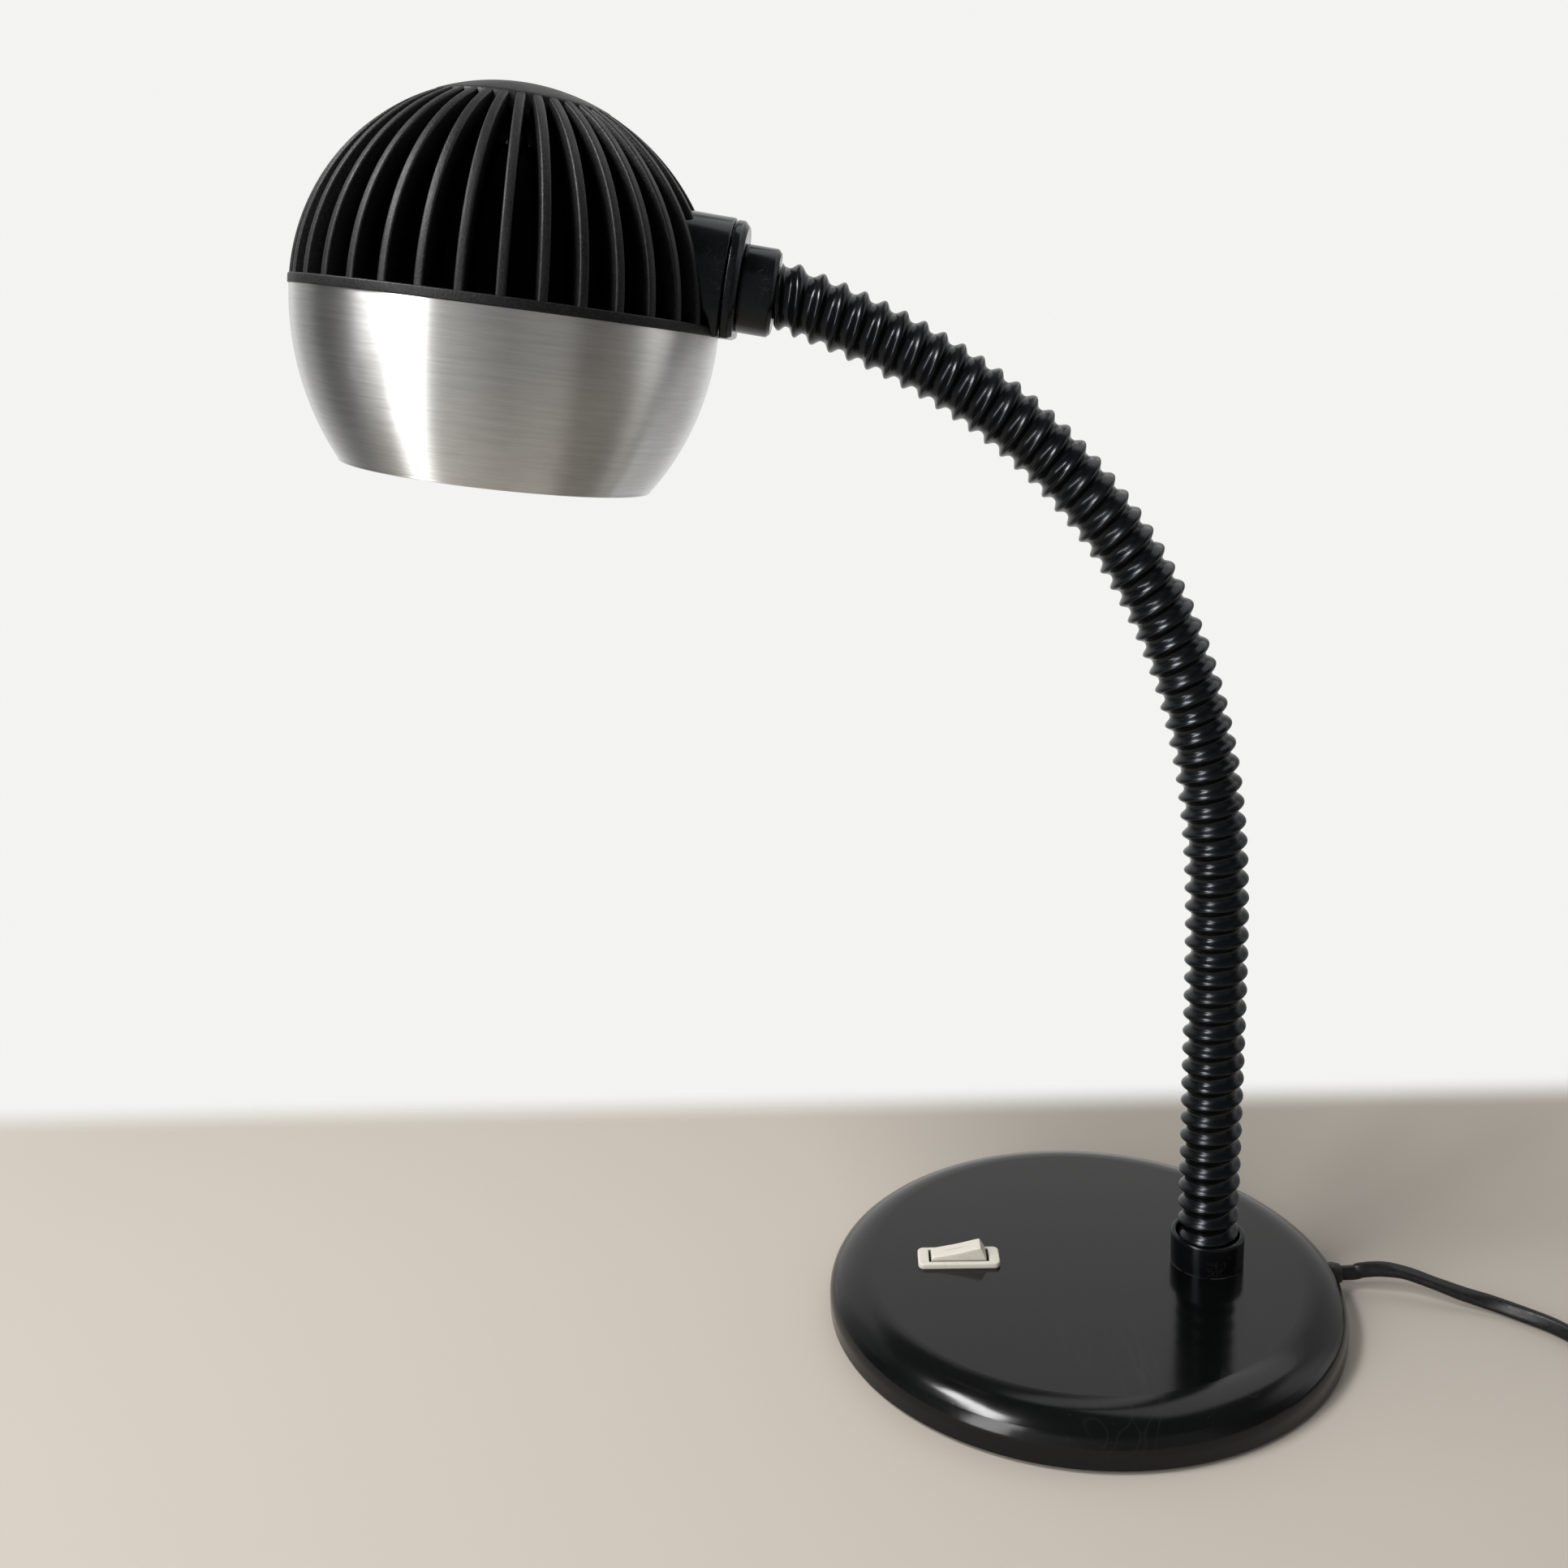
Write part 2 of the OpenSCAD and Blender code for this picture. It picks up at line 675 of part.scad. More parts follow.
module neck_ferrule() {
  cut = 1.2;
  end_z = ferrule_face + ferrule_l;
  color(BLACK) on_swivel() rotate_extrude() difference() {
    polygon([[0, ferrule_face], [ferrule_r - cut, ferrule_face], [ferrule_r, ferrule_face + cut],
      [ferrule_r, end_z], [0, end_z]]);
    circle(socket_r);
    translate([0, -past]) square([core_r + 0.4, swivel_nipple_low + past]);
    translate([0, -past]) square([nipple_r, end_z + 2 * past]);
  }
}

// The ring ends flat at the foot of the dome, like the boss
module swivel_ring() {
  end_z = ring_z + ring_t;
  color(BLACK) difference() {
    on_swivel() rotate_extrude() difference() {
      polygon([[0, ring_z], [ring_r - ring_cut, ring_z], [ring_r, ring_z + ring_cut],
        [ring_r, end_z], [0, end_z]]);
      translate([0, ring_z - past]) square([nipple_r + run_gap, ring_t + 2 * past]);
    }
    in_head() below_foot();
    in_head() translate([boss_end + swivel_washer_t + ring_t, 0, ring_cut]) rotate([0, 45, 0])
      translate([0, -ring_r, -ring_r]) cube(2 * ring_r);
  }
}

module swivel_washer() {
  color(SATIN) on_swivel() translate([0, 0, swivel_washer_z])
    pipe(swivel_washer_r, nipple_r + run_gap, swivel_washer_t);
}

module swivel_nipple() {
  color(STEEL) on_swivel() translate([0, 0, swivel_nipple_low])
    pipe(nipple_r, nipple_bore_r, holder_z + 3 - swivel_nipple_low);
}

module swivel_nut() {
  color(STEEL) on_swivel() translate([0, 0, swivel_nut_z]) difference() {
    hex(nut_r, nut_t);
    translate([0, 0, -past]) cylinder(r = nipple_r, h = nut_t + 2 * past);
  }
}

module lamp_holder() {
  floor_t = 6;
  color(BLACK) on_swivel() translate([0, 0, holder_z]) rotate_extrude() difference() {
    polygon([[0, 0], [holder_r - 4, 0], [holder_r, 5], [holder_r, 20], [holder_r - 1.5, 21],
      [holder_r - 1.5, holder_l], [0, holder_l]]);
    square([nipple_r, 3]);
    translate([0, -past]) square([nipple_bore_r, floor_t + 2 * past]);
    translate([0, floor_t]) square([bulb_cap_r + 0.5, holder_l]);
    translate([0, bulb_seat_z - holder_z - 3]) square([bulb_neck_r + 2, holder_l]);
  }
}

module holder_contacts() {
  floor_z = holder_z + 6;
  color(BRASS) on_swivel() {
    translate([0, 0, floor_z]) pipe(bulb_cap_r - 2, nipple_bore_r - 1.5, cap_floor_z - floor_z);
  }
}

module bulb_cap() {
  turns = 4;
  step = 2.8;
  color(BRASS) on_swivel() translate([0, 0, cap_floor_z]) rotate_extrude() {
    square([bulb_cap_r - 0.8, bulb_cap_l]);
    for (i = [1 : turns]) translate([bulb_cap_r - 0.9, i * step + 2]) circle(0.9);
  }
}

// Half section of the glass, moved in by a wall
module bulb_section(inset) {
  tangent = bulb_c - bulb_seat_z;
  intersection() {
    translate([0, tangent]) circle(bulb_r - inset);
    translate([0, -bulb_r]) square([bulb_r, 4 * bulb_r]);
  }
  polygon([[0, inset], [bulb_neck_r - inset, inset], [bulb_neck_r + 0.6 - inset, 3],
    [bulb_r * 0.9 - inset, tangent - bulb_r * 0.44], [0, tangent]]);
}

module bulb_glass() {
  color(OPAL) on_swivel() translate([0, 0, bulb_seat_z]) rotate_extrude() difference() {
    bulb_section(0);
    bulb_section(glass_t);
    square([3, 2 * glass_t]);
  }
}

module bulb_stem() {
  height = bulb_c - bulb_seat_z;
  color(OPAL) on_swivel() translate([0, 0, bulb_seat_z]) {
    cylinder(r1 = 2.9, r2 = 1.6, h = height * 0.6);
    translate([0, 0, height * 0.6 - 0.4]) cylinder(r = 0.7, h = height * 0.4);
    for (s = [-1, 1]) translate([0, 0, height * 0.6 - 1]) rotate([0, s * 40, 0]) cylinder(r = 0.3, h = 14);
  }
}

module fin() {
  rotate([90, 0, 0]) linear_extrude(fin_t, center = true) intersection() {
    difference() {
      circle(dome_r);
      circle(fin_foot_r);
    }
    translate([cap_r - 4, flange_h - 1]) square(dome_r);
  }
}

// Places a piece that is drawn along +Z on the swivel's axis, seen from the dome
module along_boss() {
  translate([0, 0, boss_z]) rotate([0, 90 + boss_pitch, 0]) children();
}

// What lies under the foot of the dome, cut away from the boss and the ring
module below_foot() {
  translate([0, 0, -2 * boss_r]) cylinder(r = 2 * dome_r, h = 2 * boss_r);
}

module dome() {
  color(BLACK) in_head() difference() {
    union() {
      rotate_extrude() {
        translate([inner_r - dome_t, 0]) square([flange_r - inner_r + dome_t, flange_h]);
        intersection() {
          difference() {
            circle(inner_r);
            circle(inner_r - dome_t);
          }
          square([inner_r, vent_z]);
        }
        intersection() {
          difference() {
            circle(cap_top_r);
            circle(dome_r - cap_t);
          }
          square([cap_r, cap_top_r]);
        }
      }
      for (i = [0 : fin_count - 1]) rotate([0, 0, 360 * i / fin_count]) fin();
      along_boss() {
        translate([0, 0, inner_r]) cylinder(r = boss_r, h = boss_end - inner_r);
        translate([0, 0, boss_inner]) cylinder(r = boss_inner_r, h = boss_end - boss_inner - 1);
      }
    }
    below_foot();
    along_boss() cylinder(r = nipple_r + run_gap, h = 2 * dome_r);
    shade_screw_places() cylinder(r = shade_screw_r, h = flange_h - 0.6);
  }
}

module shade_screw_places() {
  for (i = [0 : shade_screw_count - 1])
    rotate([0, 0, 60 + 360 * i / shade_screw_count]) translate([shade_screw_at, 0, 0]) children();
}

module shade() {
  color(ALUMINIUM) in_head() difference() {
    rotate_extrude() {
      intersection() {
        difference() {
          translate([dome_r - shade_arc, 0]) circle(shade_arc);
          translate([dome_r - shade_arc, 0]) circle(shade_arc - shade_t);
        }
        translate([0, -shade_h]) square([dome_r, shade_h]);
      }
      translate([dome_r - shade_lip, -shade_t]) square([shade_lip - shade_t / 2, shade_t]);
      translate([shade_rim_r - shade_t, -shade_h]) circle(rim_bead);
    }
    shade_screw_places() translate([0, 0, -shade_t - past]) cylinder(r = shade_screw_r + seat_gap, h = 4);
  }
}

module shade_screws() {
  color(STEEL) in_head() shade_screw_places() {
    translate([0, 0, -shade_t]) cylinder(r = shade_screw_r, h = shade_t + flange_h - 1);
    translate([0, 0, -shade_t - 1.6]) cylinder(r = shade_screw_head_r, h = 1.6);
  }
}

// The free stretch of the cord: upright at the exit, flat over its hump, upright again at the coil
module cord() {
  route = [for (p = CORD_ROUTE) p + [base_r, 0, 0]];
  path = concat([cord_exit, cord_exit + cord_w * exit_dir], route,
    [coil_entry + [0, cord_w / 2, 0], coil_entry]);
  rolls = concat([0, 5], CORD_ROLL, [0, 0]);
  color(BLACK) tube(path, cord_w / 2, cord_t / 2, rolls, 8);
}

// The coil, with a straight entry and a straight end that comes down to the plug
coil_path = concat(
  [coil_entry],
  [for (i = [0 : coil_rings * coil_sweep / 360]) coil_point(i * 360 / coil_rings)],
  [coil_last + [0, 1.6 * cord_w, 0], plug_at - [0, cord_w, 0], plug_at]);

module cord_coil() {
  color(BLACK) tube(coil_path, cord_w / 2, cord_t / 2, [for (p = coil_path) 0], 6);
}

// Least gap between turns, measured on the rings' points, over rings at least half a turn apart
coil_ring_points = [for (i = [0 : len(coil_path) - 1])
  ring(coil_path[i], heading(coil_path, i), cord_w / 2, cord_t / 2, 0, 6)];
function near_turns(i) = [for (j = [i + coil_rings - 3 : i + coil_rings + 3], m = [j, j + coil_rings])
  if (m < len(coil_path)) m];
coil_least_gap = min([for (i = [0 : len(coil_path) - 1], j = near_turns(i), p = coil_ring_points[i],
  q = coil_ring_points[j]) norm(p - q)]);
coil_length = [for (i = [1 : len(coil_path) - 1]) norm(coil_path[i] - coil_path[i - 1])];
function total(v, i = 0) = i == len(v) ? 0 : v[i] + total(v, i + 1);
echo(coil_least_gap = coil_least_gap, coil_length = total(coil_length));

// A strap round the bundle, on the side away from the plug
module cord_tie() {
  outer = coil_in_r + coil_pitch * (coil_turns / 2 + 0.25) + cord_t / 2 + tie_gap;
  inner = coil_in_r - cord_t / 2 - tie_gap;
  low = coil_lift - tie_gap;
  high = coil_low + coil_layer + cord_w / 2 + tie_gap;
  color(SATIN) translate([coil_c.x, coil_c.y, 0]) rotate([90, 0, -70]) linear_extrude(tie_w, center = true)
    difference() {
      translate([inner - tie_t, low - tie_t]) square([outer - inner + 2 * tie_t, high - low + 2 * tie_t]);
      translate([inner, low]) square([outer - inner, high - low]);
    }
}

module plug_body() {
  color(BLACK) translate(plug_at) rotate([-90, 0, 0]) {
    cylinder(r1 = cord_w / 2 + 0.5, r2 = 5, h = plug_tail_l);
    translate([0, 0, plug_tail_l]) linear_extrude(plug_l) rounded_rect(plug_w, plug_t, 5);
  }
}

module plug_pins() {
  color(STEEL) translate(plug_at) rotate([-90, 0, 0]) for (x = [-1, 1])
    translate([x * pin_gap / 2, 0, plug_tail_l + plug_l]) {
      cylinder(r = pin_r, h = pin_l - pin_r);
      translate([0, 0, pin_l - pin_r]) sphere(pin_r);
    }
}

// Joints, for the record: places in the middle plane and the bend at each joint
for (k = [1 : SECTIONS - 1]) echo(joint = k, at = joint_at(k), bend = lean(k) - lean(k - 1));
echo(neck_end = neck_end, head_at = head_at, head_axis_z = head_axis_z);
echo(pivot = [switch_x, switch_y, pivot_z]);
echo(plug_at = plug_at, cord_exit = cord_exit, coil_first = coil_first, coil_last = coil_last);

base_shell();
base_weight();
base_plate();
base_pad();
base_screws();
neck_collar();
neck_nipple();
neck_nut();
neck_washer();
switch_housing();
switch_terminals();
switch_rocker();
switch_contact();
cord_bush();
cord_clamp();
clamp_screws();
mains_lead();
neck_flex();
neck_core();
neck_section(0);  // neck_sleeve_00
neck_section(1);  // neck_sleeve_01
neck_section(2);  // neck_sleeve_02
neck_section(3);  // neck_sleeve_03
neck_section(4);  // neck_sleeve_04
neck_section(5);  // neck_sleeve_05
neck_section(6);  // neck_sleeve_06
neck_section(7);  // neck_sleeve_07
neck_section(8);  // neck_sleeve_08
neck_section(9);  // neck_sleeve_09
neck_section(10);  // neck_sleeve_10
neck_section(11);  // neck_sleeve_11
neck_section(12);  // neck_sleeve_12
neck_section(13);  // neck_sleeve_13
neck_section(14);  // neck_sleeve_14
neck_ferrule();
swivel_ring();
swivel_washer();
swivel_nipple();
swivel_nut();
lamp_holder();
holder_contacts();
bulb_cap();
bulb_glass();
bulb_stem();
dome();
shade();
shade_screws();
cord();
cord_coil();
cord_tie();
plug_body();
plug_pins();
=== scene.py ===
"""Dresses the gooseneck desk lamp: its finishes, ribbed sleeve, finned dome, spun shade and mains cord."""
import json
import math

import bpy
from mathutils import Matrix, Vector


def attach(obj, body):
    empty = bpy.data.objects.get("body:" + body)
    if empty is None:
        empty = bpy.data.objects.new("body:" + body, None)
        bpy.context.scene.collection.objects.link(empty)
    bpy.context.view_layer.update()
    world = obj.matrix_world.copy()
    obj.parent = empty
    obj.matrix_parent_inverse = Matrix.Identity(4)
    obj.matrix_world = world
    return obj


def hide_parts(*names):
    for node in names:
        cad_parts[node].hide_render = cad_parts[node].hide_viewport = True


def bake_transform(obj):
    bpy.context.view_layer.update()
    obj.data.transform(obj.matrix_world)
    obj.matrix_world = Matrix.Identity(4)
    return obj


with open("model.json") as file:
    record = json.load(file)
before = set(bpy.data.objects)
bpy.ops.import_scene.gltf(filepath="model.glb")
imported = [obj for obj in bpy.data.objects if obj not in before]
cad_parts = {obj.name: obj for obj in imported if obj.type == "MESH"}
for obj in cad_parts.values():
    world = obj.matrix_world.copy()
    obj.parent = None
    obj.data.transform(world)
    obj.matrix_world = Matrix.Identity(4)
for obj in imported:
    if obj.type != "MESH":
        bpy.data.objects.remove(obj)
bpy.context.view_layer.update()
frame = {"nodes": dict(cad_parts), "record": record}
NODES = frame["nodes"]
JOINTS = {j["name"]: j for j in frame["record"]["behaviour"]["joints"]}
MM = 0.001

# Photograph and camera
IMAGE_SIDE = 1932
FOCAL_PX = 1880
SENSOR_MM = 36
CAMERA_AT = (-75.6, -501.2, 334.5)
CAMERA_HEADING = (-0.0523, 0.9986)
CAMERA_PITCH = 14.83
CAMERA_ROLL = 2.52

# Sizes shared with the solids, in millimetres
BASE_R = 93
BASE_H = 17
FLAT_R = 77.5
SWITCH_AT = (-45, 1.5)
BEZEL_L = 30
BEZEL_W = 11.6
BEZEL_H = 2
BEZEL_CORNER = 2.2
WINDOW_L = 22
WINDOW_W = 8.2
SWITCH_FLOOR = 6.3
SWITCH_WALL = 1.6
PIVOT_Z = 17.2
ROCKER_TILT = 12
ROCKER_UNDER = 3
NECK_X = 45.4
COLLAR_R = 13
COLLAR_BORE_R = 5.1
COLLAR_H = 11.5
COLLAR_FLOOR = 3
CREST_R = 10.7
ROOT_R = 8.5
SLEEVE_BORE_R = 7.3
RIB_PITCH = 6.69
SECTION_L = 4 * RIB_PITCH
SECTIONS = 15
BALL_R = 8.4
CORE_R = 6.3
CORE_BORE_R = 4.2
LEAD_R = 1.4
NIPPLE_TOP = 34
LEAD_ROUTE = [(-52.6, 1.5, 4.2), (-50.1, 1.5, 4.2), (-43.8, -3.2, 4.2), (21.4, -3.2, 4.2), (33.4, -1, 4.2),
              (40.4, 0, 4.2), (44, 0, 5), (45.4, 0, 9)]
LEAD_TIP = 40.97
HEAD_TILT = 9.5
SWIVEL_TILT = 12
FERRULE_FACE = 2.2
FERRULE_L = 11
FERRULE_R = 13.4
RING_T = 3.9
RING_R = 19.8
RING_CUT = 1.6
SWIVEL_WASHER_T = 0.5
DOME_R = 66.5
FIN_COUNT = 36
FIN_T = 2.9
FIN_DEPTH = 12
DOME_T = 2
VENT_Z = 46
CAP_R = 27.5
FLANGE_H = 3
BOSS_R = 20.2
BOSS_Z = 19
BOSS_END = 68
HEAD_AXIS_Z = 85.65
SWIVEL_OFFSET = 20
SHADE_H = 50.5
SHADE_RIM_R = 50
SHADE_T = 1

# Mains cord, repeated from the solids
CORD_W = 5.6
CORD_T = 3.6
CORD_Z = 7
CORD_ANGLE = 3
BUSH_OUT = 2.5
CORD_ROUTE = [
    (103, 5, 8), (110, 4, 9), (118, 2, 8.6), (127, -2, 6.8), (131.5, -4, 5.8), (136, -6, 4.8),
    (145, -10, 3.4), (153, -16, 3), (160, -22.5, 3), (165.5, -30, 3), (170, -38.5, 3.3)]
CORD_ROLL = [20, 50, 80, 85, 78, 70, 50, 30, 15, 5, 0]
COIL_C = (216, -66)
COIL_GAP = 0.7
COIL_IN_R = 23
COIL_TURNS = 8
COIL_RINGS = 48
COIL_LIFT = 1
PLUG_T = 14
PLUG_W = 26
PLUG_L = 34
PLUG_TAIL_L = 12
PLUG_SIDES = 48
SEAT_GAP = 0.1


def smooth(t):
    t = min(max(t, 0), 1)
    return t * t * (3 - 2 * t)


def point(x, y, z):
    return Vector((x, y, z)) * MM


# Camera
def add_camera():
    level = Vector((CAMERA_HEADING[0], CAMERA_HEADING[1], 0)).normalized()
    pitch = math.radians(CAMERA_PITCH)
    forward = level * math.cos(pitch) - Vector((0, 0, 1)) * math.sin(pitch)
    right = forward.cross(Vector((0, 0, 1))).normalized()
    turn = Matrix.Rotation(math.radians(CAMERA_ROLL), 3, forward)
    right = turn @ right
    up = right.cross(forward)
    data = bpy.data.cameras.new("camera")
    data.sensor_width = SENSOR_MM
    data.lens = SENSOR_MM * FOCAL_PX / IMAGE_SIDE
    camera = bpy.data.objects.new("camera", data)
    bpy.context.collection.objects.link(camera)
    axes = Matrix((right, up, -forward)).transposed()
    camera.matrix_world = Matrix.Translation(point(*CAMERA_AT)) @ axes.to_4x4()
    bpy.context.scene.camera = camera


add_camera()


# Meshes
def add_mesh(name, points, faces, sharp=40, matrix=None):
    """A piece from points in millimetres, shaded smooth up to the given edge angle."""
    mesh = bpy.data.meshes.new(name)
    mesh.from_pydata([tuple(c * MM for c in p) for p in points], [], faces)
    mesh.validate()
    mesh.shade_smooth()
    mesh.set_sharp_from_angle(angle=math.radians(sharp))
    obj = bpy.data.objects.new(name, mesh)
    bpy.context.collection.objects.link(obj)
    if matrix is not None:
        obj.matrix_world = matrix
    return obj


def grid_faces(rows, columns, first=0):
    """Quads between rows of points, closed round each row."""
    faces = []
    for i in range(rows - 1):
        for j in range(columns):
            k = (j + 1) % columns
            a = first + i * columns
            b = a + columns
            faces.append((a + j, a + k, b + k, b + j))
    return faces


def rounded(corners, steps=5, closed=True):
    """An outline whose corners (x, z, fillet) are rounded by arcs."""
    out = []
    count = len(corners)
    for i, (x, z, fillet) in enumerate(corners):
        if not fillet or not (closed or 0 < i < count - 1):
            out.append((x, z))
            continue
        here = Vector((x, z))
        back = (Vector(corners[i - 1][:2]) - here).normalized()
        on = (Vector(corners[(i + 1) % count][:2]) - here).normalized()
        half = math.acos(max(-1, min(1, back.dot(on)))) / 2
        centre = here + (back + on).normalized() * fillet / math.sin(half)
        start = here + back * fillet / math.tan(half) - centre
        end = here + on * fillet / math.tan(half) - centre
        turn = math.atan2(start.x * end.y - start.y * end.x, start.dot(end))
        for s in range(steps + 1):
            a = turn * s / steps
            out.append((centre.x + start.x * math.cos(a) - start.y * math.sin(a),
                        centre.y + start.x * math.sin(a) + start.y * math.cos(a)))
    return out


def lathe(name, outline, segments=128, closed=True, matrix=None, sharp=40, shape=None):
    """Turns an outline of (radius, height) about Z; shape may move each point of the turned surface."""
    points = []
    for r, z in outline:
        for j in range(segments):
            a = 2 * math.pi * j / segments
            p = (r * math.cos(a), r * math.sin(a), z)
            points.append(shape(p) if shape else p)
    rows = len(outline)
    faces = [f[::-1] for f in grid_faces(rows, segments)]
    if closed:
        last = (rows - 1) * segments
        for j in range(segments):
            k = (j + 1) % segments
            faces.append((last + k, last + j, j, k))
    else:
        faces.append(tuple(range(segments)))
        faces.append(tuple(reversed(range((rows - 1) * segments, rows * segments))))
    return add_mesh(name, points, faces, sharp, matrix)


def loft(name, sections, sharp=40, matrix=None):
    """A closed skin through sections of equal point counts."""
    columns = len(sections[0])
    points = [p for section in sections for p in section]
    faces = grid_faces(len(sections), columns)
    faces.append(tuple(reversed(range(columns))))
    faces.append(tuple(range((len(sections) - 1) * columns, len(sections) * columns)))
    return add_mesh(name, points, faces, sharp, matrix)


# Materials
ENAMEL = (0.002, 0.0022, 0.0023)
INK = (0.0025, 0.0026, 0.003)


class Paint:
    """A node material with short calls for the textures that the finishes use."""

    def __init__(self, name, color, roughness, metallic=0.0, specular=0.5):
        self.material = bpy.data.materials.new(name)
        self.material.use_nodes = True
        self.nodes = self.material.node_tree.nodes
        self.links = self.material.node_tree.links
        self.shader = self.nodes["Principled BSDF"]
        self.set("Base Color", (*color, 1))
        self.set("Roughness", roughness)
        self.set("Metallic", metallic)
        self.set("Specular IOR Level", specular)
        self.place = self.nodes.new("ShaderNodeTexCoord").outputs["Object"]

    def set(self, socket, value):
        self.shader.inputs[socket].default_value = value

    def join(self, source, socket):
        self.links.new(source, self.shader.inputs[socket])

    def math(self, kind, a, b=None):
        node = self.nodes.new("ShaderNodeMath")
        node.operation = kind
        for i, value in enumerate((a, b)):
            if isinstance(value, (int, float)):
                node.inputs[i].default_value = value
            elif value is not None:
                self.links.new(value, node.inputs[i])
        return node.outputs[0]

    def axes(self):
        node = self.nodes.new("ShaderNodeSeparateXYZ")
        self.links.new(self.place, node.inputs[0])
        return node.outputs

    def stretched(self, scale):
        node = self.nodes.new("ShaderNodeVectorMath")
        node.operation = "MULTIPLY"
        node.inputs[1].default_value = scale
        self.links.new(self.place, node.inputs[0])
        return node.outputs[0]

    def vector(self, x, y, z):
        node = self.nodes.new("ShaderNodeCombineXYZ")
        for i, value in enumerate((x, y, z)):
            if isinstance(value, (int, float)):
                node.inputs[i].default_value = value
            else:
                self.links.new(value, node.inputs[i])
        return node.outputs[0]

    def noise(self, scale, detail=3.0, source=None, rough=0.55):
        node = self.nodes.new("ShaderNodeTexNoise")
        node.inputs["Scale"].default_value = scale
        node.inputs["Detail"].default_value = detail
        node.inputs["Roughness"].default_value = rough
        self.links.new(source or self.place, node.inputs["Vector"])
        return node.outputs["Fac"]

    def cells(self, scale, source=None):
        node = self.nodes.new("ShaderNodeTexVoronoi")
        node.inputs["Scale"].default_value = scale
        self.links.new(source or self.place, node.inputs["Vector"])
        return node.outputs["Distance"]

    def ramp(self, source, low, high, at_low=0.0, at_high=1.0):
        node = self.nodes.new("ShaderNodeMapRange")
        node.interpolation_type = "SMOOTHSTEP"
        for i, value in enumerate((low, high, at_low, at_high)):
            node.inputs[i + 1].default_value = value
        self.links.new(source, node.inputs[0])
        return node.outputs[0]

    def mix(self, amount, a, b):
        node = self.nodes.new("ShaderNodeMix")
        node.data_type = "RGBA"
        self.links.new(amount, node.inputs["Factor"])
        for socket, value in ((node.inputs[6], a), (node.inputs[7], b)):
            if isinstance(value, tuple):
                socket.default_value = (*value, 1)
            else:
                self.links.new(value, socket)
        return node.outputs[2]

    def bump(self, height, strength, distance):
        node = self.nodes.new("ShaderNodeBump")
        node.inputs["Strength"].default_value = strength
        node.inputs["Distance"].default_value = distance
        self.links.new(height, node.inputs["Height"])
        self.join(node.outputs[0], "Normal")

    def length(self):
        node = self.nodes.new("ShaderNodeVectorMath")
        node.operation = "LENGTH"
        self.links.new(self.place, node.inputs[0])
        return node.outputs["Value"]

    def crevice_shade(self, distance, low, high):
        """Mask for painted shade: 1 deep in gaps narrower than the distance, 0 in the open."""
        node = self.nodes.new("ShaderNodeAmbientOcclusion")
        node.samples = 8
        node.inputs["Distance"].default_value = distance
        return self.ramp(node.outputs["AO"], low, high, 1, 0)

    def radius(self):
        x, y, _ = self.axes()
        return self.math("SQRT", self.math("ADD", self.math("MULTIPLY", x, x), self.math("MULTIPLY", y, y)))


def scratches(paint, scale, width=0.02):
    """Thin wandering lines where two stretched noises pass their middle."""
    lines = None
    for angle in (0.4, 1.9):
        turned = paint.nodes.new("ShaderNodeMapping")
        turned.inputs["Rotation"].default_value = (0, 0, angle)
        turned.inputs["Scale"].default_value = (scale, scale * 0.06, scale)
        paint.links.new(paint.place, turned.inputs["Vector"])
        field = paint.noise(1, 2, turned.outputs[0])
        line = paint.ramp(paint.math("ABSOLUTE", paint.math("SUBTRACT", field, 0.5)), 0, width, 1, 0)
        lines = line if lines is None else paint.math("MAXIMUM", lines, line)
    patches = paint.ramp(paint.noise(scale * 0.12, 2), 0.5, 0.68)
    return paint.math("MULTIPLY", lines, patches)


def enamel():
    """Satin black stove enamel: faint scratches, a few chips at the edge and dust round the collar's foot."""
    paint = Paint("satin_black_enamel", ENAMEL, 0.2, specular=0.3)
    shoulder = paint.ramp(paint.radius(), (FLAT_R - 0.7) * MM, (FLAT_R + 0.7) * MM)
    cloud = paint.noise(35, 4)
    top = paint.ramp(cloud, 0.3, 0.75, 0.11, 0.15)
    gloss = paint.ramp(cloud, 0.3, 0.75, 0.14, 0.19)
    lines = paint.math("MULTIPLY", scratches(paint, 30, 0.004), 0.25)
    blended = paint.math("ADD", paint.math("MULTIPLY", top, paint.math("SUBTRACT", 1, shoulder)),
                         paint.math("MULTIPLY", gloss, shoulder))
    paint.join(paint.math("ADD", blended, paint.math("MULTIPLY", lines, 0.12)), "Roughness")
    dust = paint.ramp(paint.noise(900, 2), 0.66, 0.78, 0, 0.12)
    chip_size = paint.ramp(paint.cells(70), 0.03, 0.05, 1, 0)
    edge = paint.ramp(paint.axes()[2], 0.0125, 0.0045)
    few = paint.math("MULTIPLY", edge, paint.ramp(paint.noise(22, 1), 0.6, 0.64))
    chips = paint.math("MULTIPLY", chip_size, few)
    x, y, _ = paint.axes()
    across = paint.math("POWER", paint.math("SUBTRACT", x, NECK_X * MM), 2)
    away = paint.math("SQRT", paint.math("ADD", across, paint.math("MULTIPLY", y, y)))
    seam = paint.math("MULTIPLY", paint.ramp(away, COLLAR_R * MM, (COLLAR_R + 1.1) * MM, 0.5, 0),
                      paint.ramp(paint.noise(260, 3), 0.35, 0.65))
    dust = paint.math("MAXIMUM", dust, seam)
    colour = paint.mix(dust, ENAMEL, (0.05, 0.05, 0.048))
    colour = paint.mix(paint.math("MULTIPLY", lines, 0.15), colour, (0.09, 0.09, 0.088))
    paint.join(paint.mix(chips, colour, (0.5, 0.48, 0.45)), "Base Color")
    paint.bump(paint.noise(260, 3), 0.04, 0.0001)
    return paint.material


